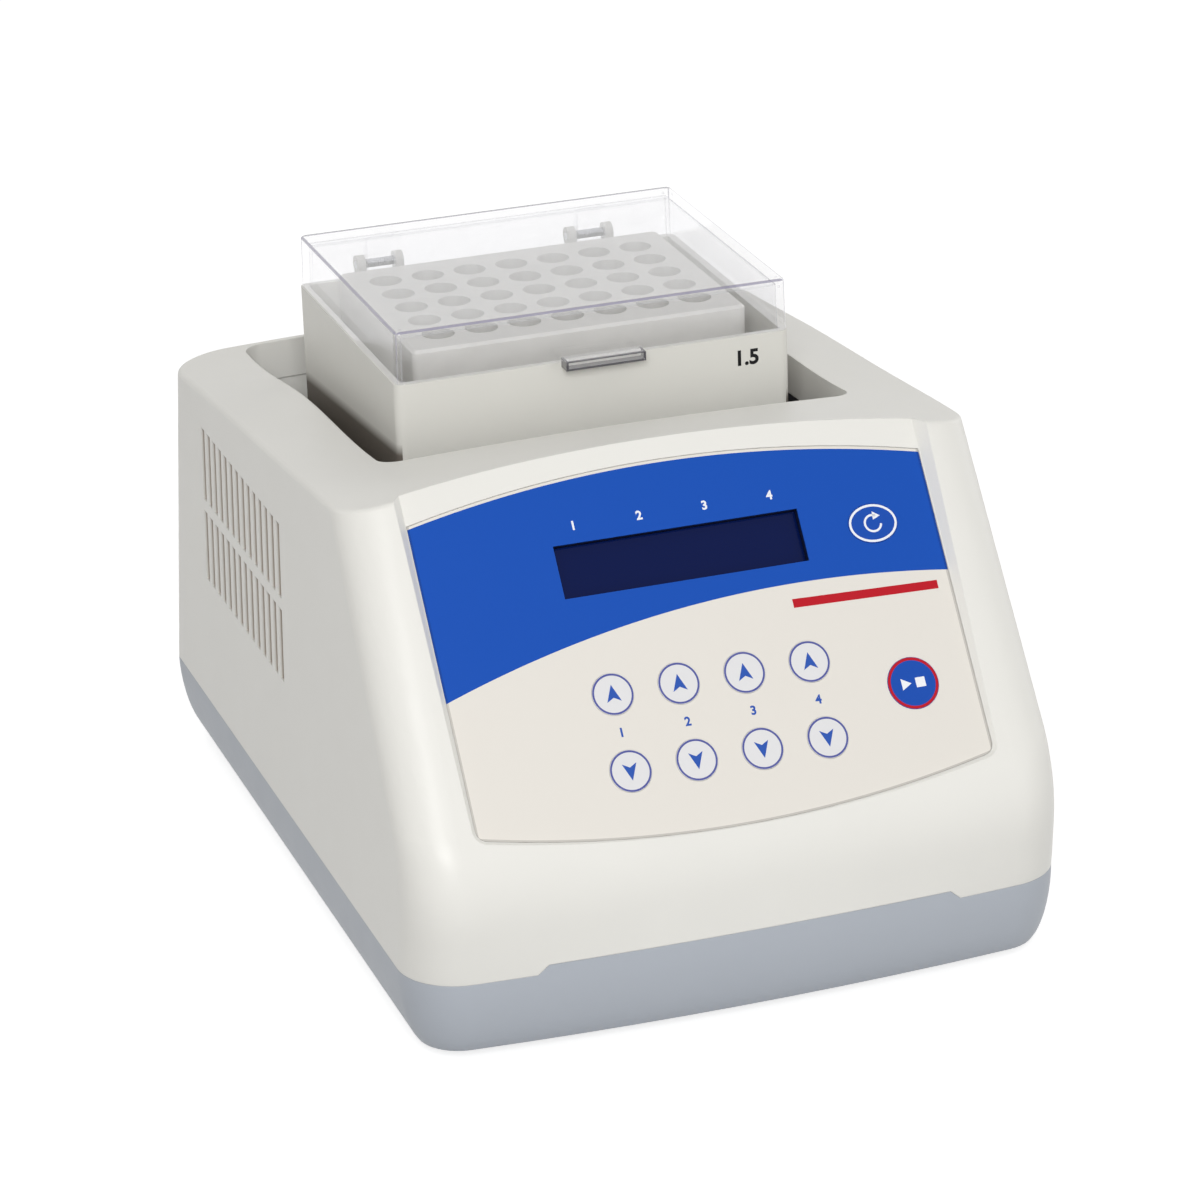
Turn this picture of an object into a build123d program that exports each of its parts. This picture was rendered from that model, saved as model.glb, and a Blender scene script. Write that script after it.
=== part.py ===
"""Thermal mixer: a heated block of tube wells that orbits on cranks inside a sloped bench housing.

Millimetres. +Z is up, the control panel faces -Y, and the origin is the middle of the footprint on
the bench. The block, its cover and the lid ride on one crank and four idlers, so they circle
without turning.
"""

import os
from math import atan, cos, degrees, radians, sin, sqrt, tan

from build123d import *

os.makedirs("parts", exist_ok=True)

# ------------------------------------------------------------------ body and base
body_width = 220.0  # across the seam
body_length = 300.0  # skirt to rear wall
foot_height = 4.0
base_height = 25.5
wall = 3.0
side_draft = 1.5  # degrees
face_tilt = 54.5  # degrees, slope of the front above the skirt
face_foot = 62.3  # height where the slope would meet the skirt
face_blend = 50.0  # radius between skirt and slope
corner_at_seam = 20.0
corner_at_blend = 16.5
corner_at_top = 18.0
rear_corner_at_seam = 5.0
rear_corner_at_top = 29.0
bow_at_seam = 5.3  # how far the middle of the front stands out
bow_at_top = 0.5
base_inset = 5.7  # how far the base draws in at its underside
base_tuck = 4.0  # how much further its rear draws in
lip_height = 4.0
lip_wall = 2.0
lip_clearance = 0.25
tongue_half = 67.3
tongue_rise = 3.2
tongue_slant = 3.5

seam = foot_height + base_height
skirt = -body_length / 2
rear = body_length / 2
tray_floor = foot_height + wall
blend_reach = face_blend * tan(radians((90 - face_tilt) / 2))
blend_start = face_foot - blend_reach
blend_end = face_foot + blend_reach * sin(radians(face_tilt))
loft_top = 178.0  # above the highest point of the crowned top

# stations of the crowned top: y, height in the middle, height at the sides
top_stations = (
    (-92.0, 175.5, 160.9),
    (-68.0, 169.5, 160.3),
    (-49.0, 165.2, 159.2),
    (-30.0, 160.9, 157.7),
    (20.0, 156.3, 153.2),
    (86.0, 150.4, 147.2),
    (152.0, 144.8, 141.0),
    (170.0, 143.2, 139.3),
)

# ------------------------------------------------------------------ control panel
panel_tilt = 53.0
panel_y = -116.35
panel_z = 105.4
overlay_half = 86.0
overlay_top_side = 63.3  # up the slope from the panel's origin
overlay_top_middle = 72.9
overlay_bottom_side = -38.5
overlay_bottom_middle = -47.9
overlay_corner = 4.0
overlay_thickness = 0.5
overlay_pocket = 0.8
overlay_clearance = 0.15
channel_taper = -38.0
window_half = 41.0
window_low = 32.5
window_high = 50.0
glass_depth = 3.0
key_pitch = 21.92
key_rows = (0.0, -25.05)
key_radius = 6.8
key_gap = 0.1
key_pocket_depth = 1.0
key_stem_radius = 2.4
key_stem_gap = 0.2
key_travel = 0.4
start_place = (65.1, -12.4)
start_radius = 8.5
pulse_place = (64.9, 41.3)
pulse_radii = (8.3, 6.5)
board_thickness = 1.6

panel_plane = Plane(
    origin=(0, panel_y, panel_z),
    x_dir=(1, 0, 0),
    z_dir=(0, -sin(radians(panel_tilt)), cos(radians(panel_tilt))),
)
panel_back = -overlay_pocket - wall
stem_end = panel_back - 1.2
switch_top = stem_end - key_travel - 0.1
board_front = switch_top - 4.5
key_columns = tuple(key_pitch * (n - 1.5) for n in range(4))

# ------------------------------------------------------------------ orbiting carriage
drive_y = 46.5
orbit_radius = 1.5
deck_top = 116.0
deck_thickness = 3.0
plate_bottom = 122.0
plate_thickness = 8.0
pad_thickness = 5.5
mat_thickness = 1.5
heater_thickness = 6.0
cover_half_x = 68.3
cover_half_y = 57.2
cover_bottom = 121.0
cover_top = 177.8
cover_wall = 2.6
cover_corner = 3.0
lid_height = 17.6
lid_gap = 0.2
lid_wall = 2.5
lid_half_x = 67.9
lid_half_y = 57.0
lid_draft = 1.4
block_half_x = 58.0
block_half_y = 44.5
block_top = 184.0
well_pitch = 15.0
well_columns = 7
well_rows = 5
well_radius = 5.5
well_straight = 20.0
well_depth = 37.0
well_tip_radius = 2.6
running_gap = 0.03

recess_x = 1.8  # the recess stands a little off the carriage's middle
recess_half_x = 81.2
recess_front = -30.0
recess_rear = 146.5
recess_corner = 7.0
collar_wall = 2.5
collar_drop = 14.0  # how far the collar reaches below the top surface
liner_gap = 0.2
liner_rear = 146.2
deck_rear = 146.7

plate_top = plate_bottom + plate_thickness
pad_top = plate_top + pad_thickness
mat_top = pad_top + mat_thickness
heater_top = mat_top + heater_thickness
lid_bottom = cover_top + lid_gap
lid_top = lid_bottom + lid_height
deck_bottom = deck_top - deck_thickness

# ------------------------------------------------------------------ drive
crank_pin_radius = 4.0
crank_bearing_outer = 11.0
crank_bearing_width = 7.0
idler_pin_radius = 3.0
idler_bearing_outer = 8.5
idler_bearing_width = 6.0
idler_half_x = 46.0
idler_half_y = 34.0
motor_radius = 30.0
motor_height = 47.0
shaft_y = drive_y - orbit_radius
idler_places = (
    ("front_left", -idler_half_x, -idler_half_y),
    ("front_right", idler_half_x, -idler_half_y),
    ("rear_left", -idler_half_x, idler_half_y),
    ("rear_right", idler_half_x, idler_half_y),
)

# ------------------------------------------------------------------ hinge
hinge_x = 38.4
hinge_y = drive_y + cover_half_y + 3.9
hinge_z = 180.6
hinge_pin_radius = 1.5
knuckle_radius = 3.2
knuckle_width = 10.0
ear_width = 3.0
ear_gap = 0.3

# ------------------------------------------------------------------ vents, fan and mains inlet
vent_count = 14
vent_pitch = 7.385
vent_width = 4.2
vent_middle_y = 49.0
vent_rows = ((106.5, 132.8), (76.8, 102.4))
fan_size = 60.0
fan_depth = 15.0
fan_z = 78.0
fan_hole = 28.0
fan_hub = 12.5
fan_screw = 25.0
grille_pitch = 6.0
grille_slot = 3.2
inlet_x = -68.0
inlet_z = 71.5
inlet_width = 27.0
inlet_height = 58.0
inlet_depth = 22.0
inlet_flange = 3.0  # how far the flange reaches past the body all round
flange_thickness = 2.0
inlet_recess = 6.0
recess_margin = 2.0
socket_z = inlet_z - 17.0
socket_width = 24.4
socket_height = 16.4
socket_depth = 16.5
pin_pitch = 7.0
drawer_z = inlet_z + 0.5
drawer_width = 22.0
drawer_height = 8.0
drawer_depth = 18.0
drawer_gap = 0.25
rocker_z = inlet_z + 16.5
rocker_width = 12.0
rocker_half = 9.2
rocker_tilt = 9.0  # degrees either side of level
rocker_cavity_half = 10.0
rocker_cavity_depth = 12.0

# ------------------------------------------------------------------ chassis
chassis_z = 14.0
chassis_thickness = 1.5
column_places = ((-70.0, -22.0), (70.0, -22.0), (-44.0, 127.0), (44.0, 127.0))
column_radius = 5.0
boss_places = tuple((x, y) for x in (-93.0, 93.0) for y in (-112.0, 14.0, 130.0))
boss_radius = 5.0
boss_top = 62.0
foot_places = tuple((x, y) for x in (-74.0, 74.0) for y in (-104.0, 114.0))
foot_radius = 9.0
foot_recess = 1.0
foot_screw_seat = 3.0
foot_screw_head = 1.8
support_radius = 4.0
screw_radius = 1.75
screw_head = 3.4
screw_head_depth = 14.0
screw_grip = 12.0
small_screw_radius = 1.25
board_places = ((-56.0, 53.0), (80.0, 53.0), (-56.0, -34.0), (80.0, -34.0))
board_boss_radius = 3.2
board_screw_grip = 5.0
fan_boss = 1.0
screw_head_height = 2.2
small_head = 2.6
small_head_height = 1.5
clearance_hole = 0.3
support_places = tuple((x, y) for x in (-78.0, 78.0) for y in (-92.0, 118.0))
chassis_half_x = 85.0
chassis_half_y = 117.0
chassis_middle_y = 18.0
chassis_flange = 8.0
chassis_top = chassis_z + chassis_thickness
column_thread = 10.0
frame_screw_length = 10.0
deck_margin = 2.0

# ------------------------------------------------------------------ drive details
shaft_hole = 6.0
motor_collar = 5.0
motor_collar_radius = 26.0
motor_screw_circle = 20.0
motor_thread = 6.0
seat_gap = 0.05
crank_bottom = deck_top + 1.0
crank_thickness = 2.2
crank_radius = 16.0
crank_shoulder = 5.0
weight_radius = 36.0
weight_edge = 3.0
weight_thickness = 2.2
weight_pin_radius = 1.5
weight_pin_places = ((-7.0, shaft_y - 10.0), (7.0, shaft_y - 10.0))
idler_shoulder = 3.8
idler_disc = 7.0
cup_radius = 11.0
cup_height = 9.0
cup_flange = 2.5
idler_axes = tuple((x, shaft_y + y) for name, x, y in idler_places)
idler_pins = tuple((x, drive_y + y) for name, x, y in idler_places)

# ------------------------------------------------------------------ carriage and lid details
well_taper = degrees(atan((well_radius - well_tip_radius) / (well_depth - well_straight)))
heater_screw_places = tuple((x, drive_y + y) for x in (-30.0, 30.0) for y in (-39.0, 39.0))
heater_screw_grip = 5.0
cover_screw_places = ((-40.0, plate_bottom + 4.0), (40.0, plate_bottom + 4.0))
cover_screw_grip = 6.0
locating_places = ((-52.5, drive_y), (52.5, drive_y))
locating_radius = 2.0
sensor_x = 22.0
sensor_radius = 1.5
sensor_length = 18.0
grip_x = 2.0
grip_half = 13.75
grip_reach = 6.0
grip_rise = 1.6
grip_drop = 1.5
tab_rise = 10.5
tab_proud = 1.2
hinge_gap = 0.05

# ------------------------------------------------------------------ panel, board and mains details
glass_thickness = 1.2
key_proud = 0.15
board_left = -64.0
board_right = 86.0
board_low = -40.0
board_high = 59.0
header_v = -30.0
header_width = 6.0
header_height = 6.0
ribbon_x = -35.0
ribbon_width = 20.0
ribbon_thickness = 1.0
ribbon_end_y = -84.0
supply_place = (52.0, 50.0)
supply_width = 56.0
supply_length = 116.0
supply_height = 34.0
main_board_z = chassis_top + 6.0
main_board_place = (-35.0, -14.0)
main_board_width = 54.0
main_board_length = 156.0
main_board_screws = tuple(
    (main_board_place[0] + x, main_board_place[1] + y) for x in (-23.0, 23.0) for y in (-74.0, 74.0)
)
fan_strut = 3.5
fan_spindle = 1.5
fan_blades = 7
blade_chord = 11.0
blade_thickness = 1.4
pin_places = (
    (inlet_x - pin_pitch, socket_z - 2.0),
    (inlet_x + pin_pitch, socket_z - 2.0),
    (inlet_x, socket_z + 2.0),
)
pin_section = (2.0, 4.0)
pin_length = 20.0
pin_tail = 6.0
fuse_radius = 2.6
fuse_length = 20.0
rocker_y = rear - inlet_recess - 1.0
trunnion_radius = 1.2


def front_at(height):
    """Y of the middle of the front at a height: upright skirt, blend arc, then the slope."""
    if height <= blend_start:
        return skirt
    if height < blend_end:
        return skirt + face_blend - sqrt(face_blend**2 - (height - blend_start) ** 2)
    return skirt + (height - face_foot) / tan(radians(face_tilt))


def draw_outline(height, inset=0.0, tuck=0.0):
    """Draw the body's outline at a height into the open BuildLine: bowed front, rounded corners.

    The outline is drawn in by inset all round, and by a further tuck at the rear.
    """
    rise = max(height - seam, 0.0)
    half = body_width / 2 - rise * tan(radians(side_draft)) - inset
    slope_share = min(rise / (blend_end - seam), 1.0)
    bow = bow_at_top + (bow_at_seam - bow_at_top) * (1 - slope_share) ** 2
    upper_share = max(height - blend_end, 0.0) / (loft_top - blend_end)
    corner = corner_at_seam + (corner_at_blend - corner_at_seam) * slope_share
    corner = corner + (corner_at_top - corner_at_blend) * upper_share
    corner = max(corner - inset, 1.0)
    front = front_at(height) + inset * (1 + 0.25 * slope_share)
    back = rear - inset - tuck
    whole_share = rise / (loft_top - seam)
    rear_corner = rear_corner_at_seam + (rear_corner_at_top - rear_corner_at_seam) * whole_share
    back_corner = max(rear_corner - inset, 2.0)
    bow_radius = (half**2 + bow**2) / (2 * bow)
    corner_x = half - corner
    middle_y = front + bow_radius
    corner_y = middle_y - sqrt((bow_radius - corner) ** 2 - corner_x**2)
    reach = bow_radius / (bow_radius - corner)
    touch_x = corner_x * reach
    touch_y = middle_y + (corner_y - middle_y) * reach
    aim_x = touch_x + half - 2 * corner_x
    aim_y = touch_y - corner_y
    length = sqrt(aim_x**2 + aim_y**2)
    mid_x = corner_x + corner * aim_x / length
    mid_y = corner_y + corner * aim_y / length
    turn = back_corner * (1 - cos(radians(45)))
    ThreePointArc((-touch_x, touch_y), (0, front), (touch_x, touch_y))
    ThreePointArc((touch_x, touch_y), (mid_x, mid_y), (half, corner_y))
    Line((half, corner_y), (half, back - back_corner))
    ThreePointArc((half, back - back_corner), (half - turn, back - turn), (half - back_corner, back))
    Line((half - back_corner, back), (-half + back_corner, back))
    ThreePointArc((-half + back_corner, back), (-half + turn, back - turn), (-half, back - back_corner))
    Line((-half, back - back_corner), (-half, corner_y))
    ThreePointArc((-half, corner_y), (-mid_x, mid_y), (-touch_x, touch_y))


def body_loft(inset):
    """The body's outer form, drawn in by inset: a blended skirt, then straight upper walls."""
    with BuildPart() as solid:
        for step in range(7):
            height = seam + (blend_end - seam) * step / 6
            with BuildSketch(Plane.XY.offset(height)):
                with BuildLine():
                    draw_outline(height, inset)
                make_face()
        loft()
        for height in (blend_end, loft_top):
            with BuildSketch(Plane.XY.offset(height)):
                with BuildLine():
                    draw_outline(height, inset)
                make_face()
        loft(ruled=True)
    return solid.part


def above_top(drop):
    """Everything above the crowned top surface, lowered by drop."""
    reach = body_width / 2 + 15.0
    with BuildPart() as solid:
        for y, middle, side in top_stations:
            fall = (middle - side) * (reach / (body_width / 2)) ** 2
            with BuildSketch(Plane.XZ.offset(-y)):
                with BuildLine():
                    ThreePointArc(
                        (-reach, middle - fall - drop), (0, middle - drop), (reach, middle - fall - drop)
                    )
                    Line((reach, middle - fall - drop), (reach, 230))
                    Line((reach, 230), (-reach, 230))
                    Line((-reach, 230), (-reach, middle - fall - drop))
                make_face()
        loft()
    return solid.part


def overlay_outline(grow):
    """Draw the control panel's outline, grown all round, into the open BuildLine."""
    half = overlay_half + grow
    top = Vector(half, overlay_top_side + grow)
    low = Vector(half, overlay_bottom_side - grow)
    ThreePointArc((-top.X, top.Y), (0, overlay_top_middle + grow), (top.X, top.Y))
    Line((top.X, top.Y), (low.X, low.Y))
    ThreePointArc((low.X, low.Y), (0, overlay_bottom_middle - grow), (-low.X, low.Y))
    Line((-low.X, low.Y), (-top.X, top.Y))


def key_places():
    """Names and places of the eight arrow keys on the panel."""
    for column, x in enumerate(key_columns):
        for row, v in zip(("up", "down"), key_rows):
            yield f"key_{row}_{column + 1}", (x, v)


# ================================================================== housing
housing_body = body_loft(0.0)
housing_room = body_loft(wall)

with BuildPart() as channel:
    with BuildSketch(panel_plane) as channel_sketch:
        with BuildLine():
            Line((-overlay_half - 0.4, 120), (overlay_half + 0.4, 120))
            Line((overlay_half + 0.4, 120), (overlay_half + 0.4, overlay_bottom_side - 0.4))
            ThreePointArc(
                (overlay_half + 0.4, overlay_bottom_side - 0.4),
                (0, overlay_bottom_middle - 0.4),
                (-overlay_half - 0.4, overlay_bottom_side - 0.4),
            )
            Line((-overlay_half - 0.4, overlay_bottom_side - 0.4), (-overlay_half - 0.4, 120))
        make_face()
        fillet(channel_sketch.vertices().sort_by(Axis.Y)[:2], overlay_corner)
    extrude(amount=12, taper=channel_taper)

with BuildPart() as room:
    add(housing_room)
    add(above_top(wall), mode=Mode.SUBTRACT)
    with BuildSketch(panel_plane.offset(panel_back)):
        Rectangle(2 * body_width, 2 * body_width)
    extrude(amount=100, mode=Mode.SUBTRACT)

recess_middle = (recess_front + recess_rear) / 2
recess_length = recess_rear - recess_front


def recess_block(bottom, grow):
    """A block that fills the carriage's recess from a height up, grown all round in plan."""
    with BuildPart() as block:
        with BuildSketch(Plane.XY.offset(bottom)):
            with Locations((recess_x, recess_middle)):
                RectangleRounded(
                    2 * (recess_half_x + grow), recess_length + 2 * grow, recess_corner + grow
                )
        extrude(amount=loft_top - bottom)
    return block.part


with BuildPart() as collar:
    add(recess_block(deck_top, collar_wall))
    add(above_top(collar_drop), mode=Mode.INTERSECT)
    add(above_top(wall / 2), mode=Mode.SUBTRACT)

with BuildPart() as housing:
    add(housing_body)
    add(above_top(0), mode=Mode.SUBTRACT)
    top_edges = housing.faces().sort_by(Axis.Z)[-1].edges()
    fillet(top_edges, 1.8)
    add(channel.part, mode=Mode.SUBTRACT)
    with BuildSketch(panel_plane) as overlay_bed:
        with BuildLine():
            overlay_outline(overlay_clearance)
        make_face()
        fillet(overlay_bed.vertices().sort_by(Axis.Y)[:2], overlay_corner)
    extrude(amount=-overlay_pocket, mode=Mode.SUBTRACT)
    add(room.part, mode=Mode.SUBTRACT)
    # collar round the carriage's recess
    add(collar.part)
    add(recess_block(deck_top, 0), mode=Mode.SUBTRACT)

    # vents in both side walls
    for side in (-1, 1):
        with BuildSketch(Plane.YZ.offset(side * 98)):
            for low, high in vent_rows:
                with Locations((vent_middle_y, (low + high) / 2)):
                    with GridLocations(vent_pitch, 1, vent_count, 1):
                        Rectangle(vent_width, high - low)
        extrude(amount=side * 20, mode=Mode.SUBTRACT)
    # slots in front of the fan
    with BuildSketch(Plane.XZ.offset(-rear - 1)):
        for step in range(-4, 5):
            slot = 2 * sqrt((fan_hole - 1) ** 2 - (step * grille_pitch) ** 2)
            with Locations((step * grille_pitch, fan_z)):
                SlotOverall(slot, grille_slot, rotation=90)
    extrude(amount=wall + 2, mode=Mode.SUBTRACT)
    # recess, floor and cut-out for the mains inlet
    pocket_width = inlet_width + 2 * (inlet_flange + recess_margin)
    pocket_height = inlet_height + 2 * (inlet_flange + recess_margin)
    with BuildSketch(Plane.XZ.offset(-rear + inlet_recess + wall)):
        with Locations((inlet_x, inlet_z)):
            RectangleRounded(pocket_width + 2 * wall, pocket_height + 2 * wall, 3)
    extrude(amount=-inlet_recess)
    with BuildSketch(Plane.XZ.offset(-rear + inlet_recess)):
        with Locations((inlet_x, inlet_z)):
            RectangleRounded(pocket_width, pocket_height, 2)
    extrude(amount=-inlet_recess - 1, mode=Mode.SUBTRACT)
    with BuildSketch(Plane.XZ.offset(-rear + 1)):
        with Locations((inlet_x, inlet_z)):
            Rectangle(inlet_width + 0.4, inlet_height + 0.4)
    extrude(amount=30, mode=Mode.SUBTRACT)
    # bosses for the screws from below, each tied to its side wall
    with BuildSketch(Plane.XY.offset(seam)):
        with Locations(*boss_places):
            Circle(boss_radius)
    extrude(amount=boss_top - seam)
    with BuildSketch(Plane.XY.offset(seam + lip_height + 1)):
        for x, y in boss_places:
            with Locations((x * 1.08, y)):
                Rectangle(16, 2.4)
    extrude(amount=boss_top - seam - lip_height - 1)
    with BuildSketch(Plane.XY.offset(seam)):
        with Locations(*boss_places):
            Circle(screw_radius)
    extrude(amount=screw_grip, mode=Mode.SUBTRACT)
    # notch over the base's tongue
    with BuildSketch(Plane.XZ.offset(-skirt - 20)) as notch:
        with BuildLine():
            Polyline(
                (-tongue_half - tongue_slant, seam),
                (-tongue_half, seam + tongue_rise),
                (tongue_half, seam + tongue_rise),
                (tongue_half + tongue_slant, seam),
                close=True,
            )
        make_face()
    extrude(amount=40, mode=Mode.SUBTRACT)
    # display window, key pockets and key stem holes
    with BuildSketch(panel_plane.offset(-overlay_pocket)):
        with Locations((0, (window_low + window_high) / 2)):
            Rectangle(2 * window_half, window_high - window_low)
    extrude(amount=-2 * wall, mode=Mode.SUBTRACT)
    with BuildSketch(panel_plane.offset(-overlay_pocket)):
        for name, place in key_places():
            with Locations(place):
                Circle(key_radius + 2 * key_gap)
        with Locations(start_place):
            Circle(start_radius + 2 * key_gap)
        with Locations(pulse_place):
            Ellipse(pulse_radii[0] + 2 * key_gap, pulse_radii[1] + 2 * key_gap)
    extrude(amount=-key_pocket_depth, mode=Mode.SUBTRACT)
    with BuildSketch(panel_plane.offset(-overlay_pocket)):
        with Locations(*[place for name, place in key_places()], start_place, pulse_place):
            Circle(key_stem_radius + key_stem_gap)
    extrude(amount=-2 * wall, mode=Mode.SUBTRACT)
    # bosses behind the panel for the display board
    with BuildSketch(panel_plane.offset(board_front)):
        with Locations(*board_places):
            Circle(board_boss_radius)
    extrude(amount=panel_back - board_front + 0.5)
    with BuildSketch(panel_plane.offset(board_front)):
        with Locations(*board_places):
            Circle(small_screw_radius)
    extrude(amount=board_screw_grip, mode=Mode.SUBTRACT)
    # bosses on the rear wall for the fan
    with BuildSketch(Plane.XZ.offset(-rear + wall + fan_boss)):
        with Locations((0, fan_z)):
            with GridLocations(2 * fan_screw, 2 * fan_screw, 2, 2):
                Circle(4)
                Circle(small_screw_radius, mode=Mode.SUBTRACT)
    extrude(amount=-fan_boss)

housing.part.label = "housing"
export_step(housing.part, "parts/housing.step")

# dark liner between the deck and the collar, open towards the housing's rear wall
with BuildPart() as recess_liner:
    add(recess_block(deck_top, collar_wall))
    add(above_top(collar_drop + liner_gap), mode=Mode.SUBTRACT)
    add(recess_block(deck_top, 0), mode=Mode.SUBTRACT)
    with BuildSketch(Plane.XY.offset(deck_top)):
        with Locations((recess_x, liner_rear + 10)):
            Rectangle(2 * body_width, 20)
    extrude(amount=60, mode=Mode.SUBTRACT)

recess_liner.part.label = "recess_liner"
export_step(recess_liner.part, "parts/recess_liner.step")

# ================================================================== base tray
tray_steps = ((foot_height, 1.0), (foot_height + 4.0, 0.62), (foot_height + 10.0, 0.3), (seam - 8.0, 0.08), (seam, 0.0))


def tray_form(inset, floor):
    """Hull-like base drawn in towards its underside; inset and floor make its inner room."""
    with BuildPart() as solid:
        for height, share in tray_steps:
            with BuildSketch(Plane.XY.offset(max(height, floor))):
                with BuildLine():
                    draw_outline(seam, inset + share * base_inset, share * base_tuck)
                make_face()
        loft()
    return solid.part


with BuildPart() as tray_room:
    add(tray_form(wall, 0))
    with BuildSketch():
        Rectangle(2 * body_width, 2 * body_length)
    extrude(amount=tray_floor, mode=Mode.SUBTRACT)

with BuildPart() as tongue:
    with BuildSketch(Plane.XY.offset(seam)):
        with BuildLine():
            draw_outline(seam)
        make_face()
        with BuildLine():
            draw_outline(seam, wall)
        make_face(mode=Mode.SUBTRACT)
    extrude(amount=tongue_rise)
    with BuildSketch(Plane.XZ.offset(-skirt - 20)):
        with BuildLine():
            Polyline(
                (-tongue_half - tongue_slant, seam),
                (-tongue_half, seam + tongue_rise),
                (tongue_half, seam + tongue_rise),
                (tongue_half + tongue_slant, seam),
                close=True,
            )
        make_face()
    extrude(amount=40, mode=Mode.INTERSECT)

with BuildPart() as base_tray:
    add(tray_form(0, 0))
    add(tray_room.part, mode=Mode.SUBTRACT)
    add(tongue.part)
    # locating lip inside the housing's wall
    for bottom, height, outer in (
        (seam - lip_height, lip_height, wall - 0.6),
        (seam, lip_height, wall + lip_clearance),
    ):
        with BuildSketch(Plane.XY.offset(bottom)):
            with BuildLine():
                draw_outline(seam, outer)
            make_face()
            with BuildLine():
                draw_outline(seam, wall + lip_clearance + lip_wall)
            make_face(mode=Mode.SUBTRACT)
        extrude(amount=height)
    # posts under the housing's bosses, posts for the chassis, seats for the feet
    with BuildSketch(Plane.XY.offset(foot_height + 0.5)):
        with Locations(*boss_places):
            Circle(boss_radius)
    extrude(amount=base_height - 0.5)
    with BuildSketch(Plane.XY.offset(tray_floor)):
        with Locations(*support_places):
            Circle(support_radius)
    extrude(amount=chassis_z - tray_floor)
    with BuildSketch(Plane.XY.offset(tray_floor)):
        with Locations(*foot_places):
            Circle(foot_radius)
    extrude(amount=foot_recess)
    with BuildSketch(Plane.XY.offset(foot_height)):
        with Locations(*boss_places):
            Circle(screw_head + 0.3)
    extrude(amount=screw_head_depth, mode=Mode.SUBTRACT)
    with BuildSketch(Plane.XY.offset(foot_height)):
        with Locations(*boss_places):
            Circle(screw_radius + 0.3)
    extrude(amount=base_height, mode=Mode.SUBTRACT)
    with BuildSketch(Plane.XY.offset(foot_height)):
        with Locations(*foot_places):
            Circle(foot_radius + 0.1)
    extrude(amount=foot_recess, mode=Mode.SUBTRACT)
    with BuildSketch(Plane.XY.offset(foot_height)):
        with Locations(*foot_places):
            Circle(screw_radius)
    extrude(amount=wall + foot_recess, mode=Mode.SUBTRACT)
    with BuildSketch(Plane.XY.offset(tray_floor + 1)):
        with Locations(*support_places):
            Circle(small_screw_radius)
    extrude(amount=chassis_z - tray_floor, mode=Mode.SUBTRACT)

base_tray.part.label = "base_tray"
export_step(base_tray.part, "parts/base_tray.step")

# ================================================================== feet and fasteners


def facing_down(height):
    """Plane at a height that faces the bench; its Y runs towards the front."""
    return Plane(origin=(0, 0, height), x_dir=(1, 0, 0), z_dir=(0, 0, -1))


def turned(places):
    """Places on the bench as seen from below."""
    return [(x, -y) for x, y in places]


def pan_screws(places, plane, head, head_height, shank, length):
    """Screws seated on a plane: heads stand up from it and shanks run down behind it."""
    with BuildPart() as screws:
        with BuildSketch(plane):
            with Locations(*places):
                Circle(head)
        extrude(amount=head_height, taper=10)
        with BuildSketch(plane):
            with Locations(*places):
                Circle(shank)
        extrude(amount=-length)
    return screws.part


with BuildPart() as rubber_feet:
    with BuildSketch():
        with Locations(*foot_places):
            Circle(foot_radius)
    extrude(amount=foot_height + foot_recess)
    chamfer(rubber_feet.edges().group_by(Axis.Z)[0], 0.8)
    with BuildSketch():
        with Locations(*foot_places):
            Circle(screw_head + 0.4)
    extrude(amount=foot_screw_seat, mode=Mode.SUBTRACT)
    with BuildSketch():
        with Locations(*foot_places):
            Circle(screw_radius)
    extrude(amount=foot_height + foot_recess, mode=Mode.SUBTRACT)

rubber_feet.part.label = "rubber_feet"
export_step(rubber_feet.part, "parts/rubber_feet.step")

with BuildPart() as foot_screws:
    add(
        pan_screws(
            turned(foot_places),
            facing_down(foot_screw_seat),
            screw_head,
            foot_screw_head,
            screw_radius,
            tray_floor + foot_recess - foot_screw_seat,
        )
    )

foot_screws.part.label = "foot_screws"
export_step(foot_screws.part, "parts/foot_screws.step")

with BuildPart() as housing_screws:
    add(
        pan_screws(
            turned(boss_places),
            facing_down(foot_height + screw_head_depth),
            screw_head,
            screw_head_height,
            screw_radius,
            base_height - screw_head_depth + screw_grip - 1,
        )
    )

housing_screws.part.label = "housing_screws"
export_step(housing_screws.part, "parts/housing_screws.step")

# ================================================================== chassis, columns and deck
with BuildPart() as chassis_plate:
    with BuildSketch(Plane.XY.offset(chassis_z)):
        with Locations((0, chassis_middle_y)):
            RectangleRounded(2 * chassis_half_x, 2 * chassis_half_y, 4)
        with Locations(*column_places):
            Circle(screw_radius + clearance_hole, mode=Mode.SUBTRACT)
        with Locations(*support_places):
            Circle(small_screw_radius + clearance_hole, mode=Mode.SUBTRACT)
    extrude(amount=chassis_thickness)
    for side in (-1, 1):
        with BuildSketch(Plane.XY.offset(chassis_z)):
            with Locations((side * (chassis_half_x - chassis_thickness / 2), chassis_middle_y)):
                Rectangle(chassis_thickness, 2 * chassis_half_y - 12)
        extrude(amount=chassis_flange)

chassis_plate.part.label = "chassis_plate"
export_step(chassis_plate.part, "parts/chassis_plate.step")

with BuildPart() as deck_columns:
    with BuildSketch(Plane.XY.offset(chassis_top)):
        with Locations(*column_places):
            RegularPolygon(column_radius, 6)
    extrude(amount=deck_bottom - chassis_top)
    for end, way in ((chassis_top, 1), (deck_bottom, -1)):
        with BuildSketch(Plane.XY.offset(end)):
            with Locations(*column_places):
                Circle(screw_radius)
        extrude(amount=way * column_thread, mode=Mode.SUBTRACT)

deck_columns.part.label = "deck_columns"
export_step(deck_columns.part, "parts/deck_columns.step")

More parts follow.
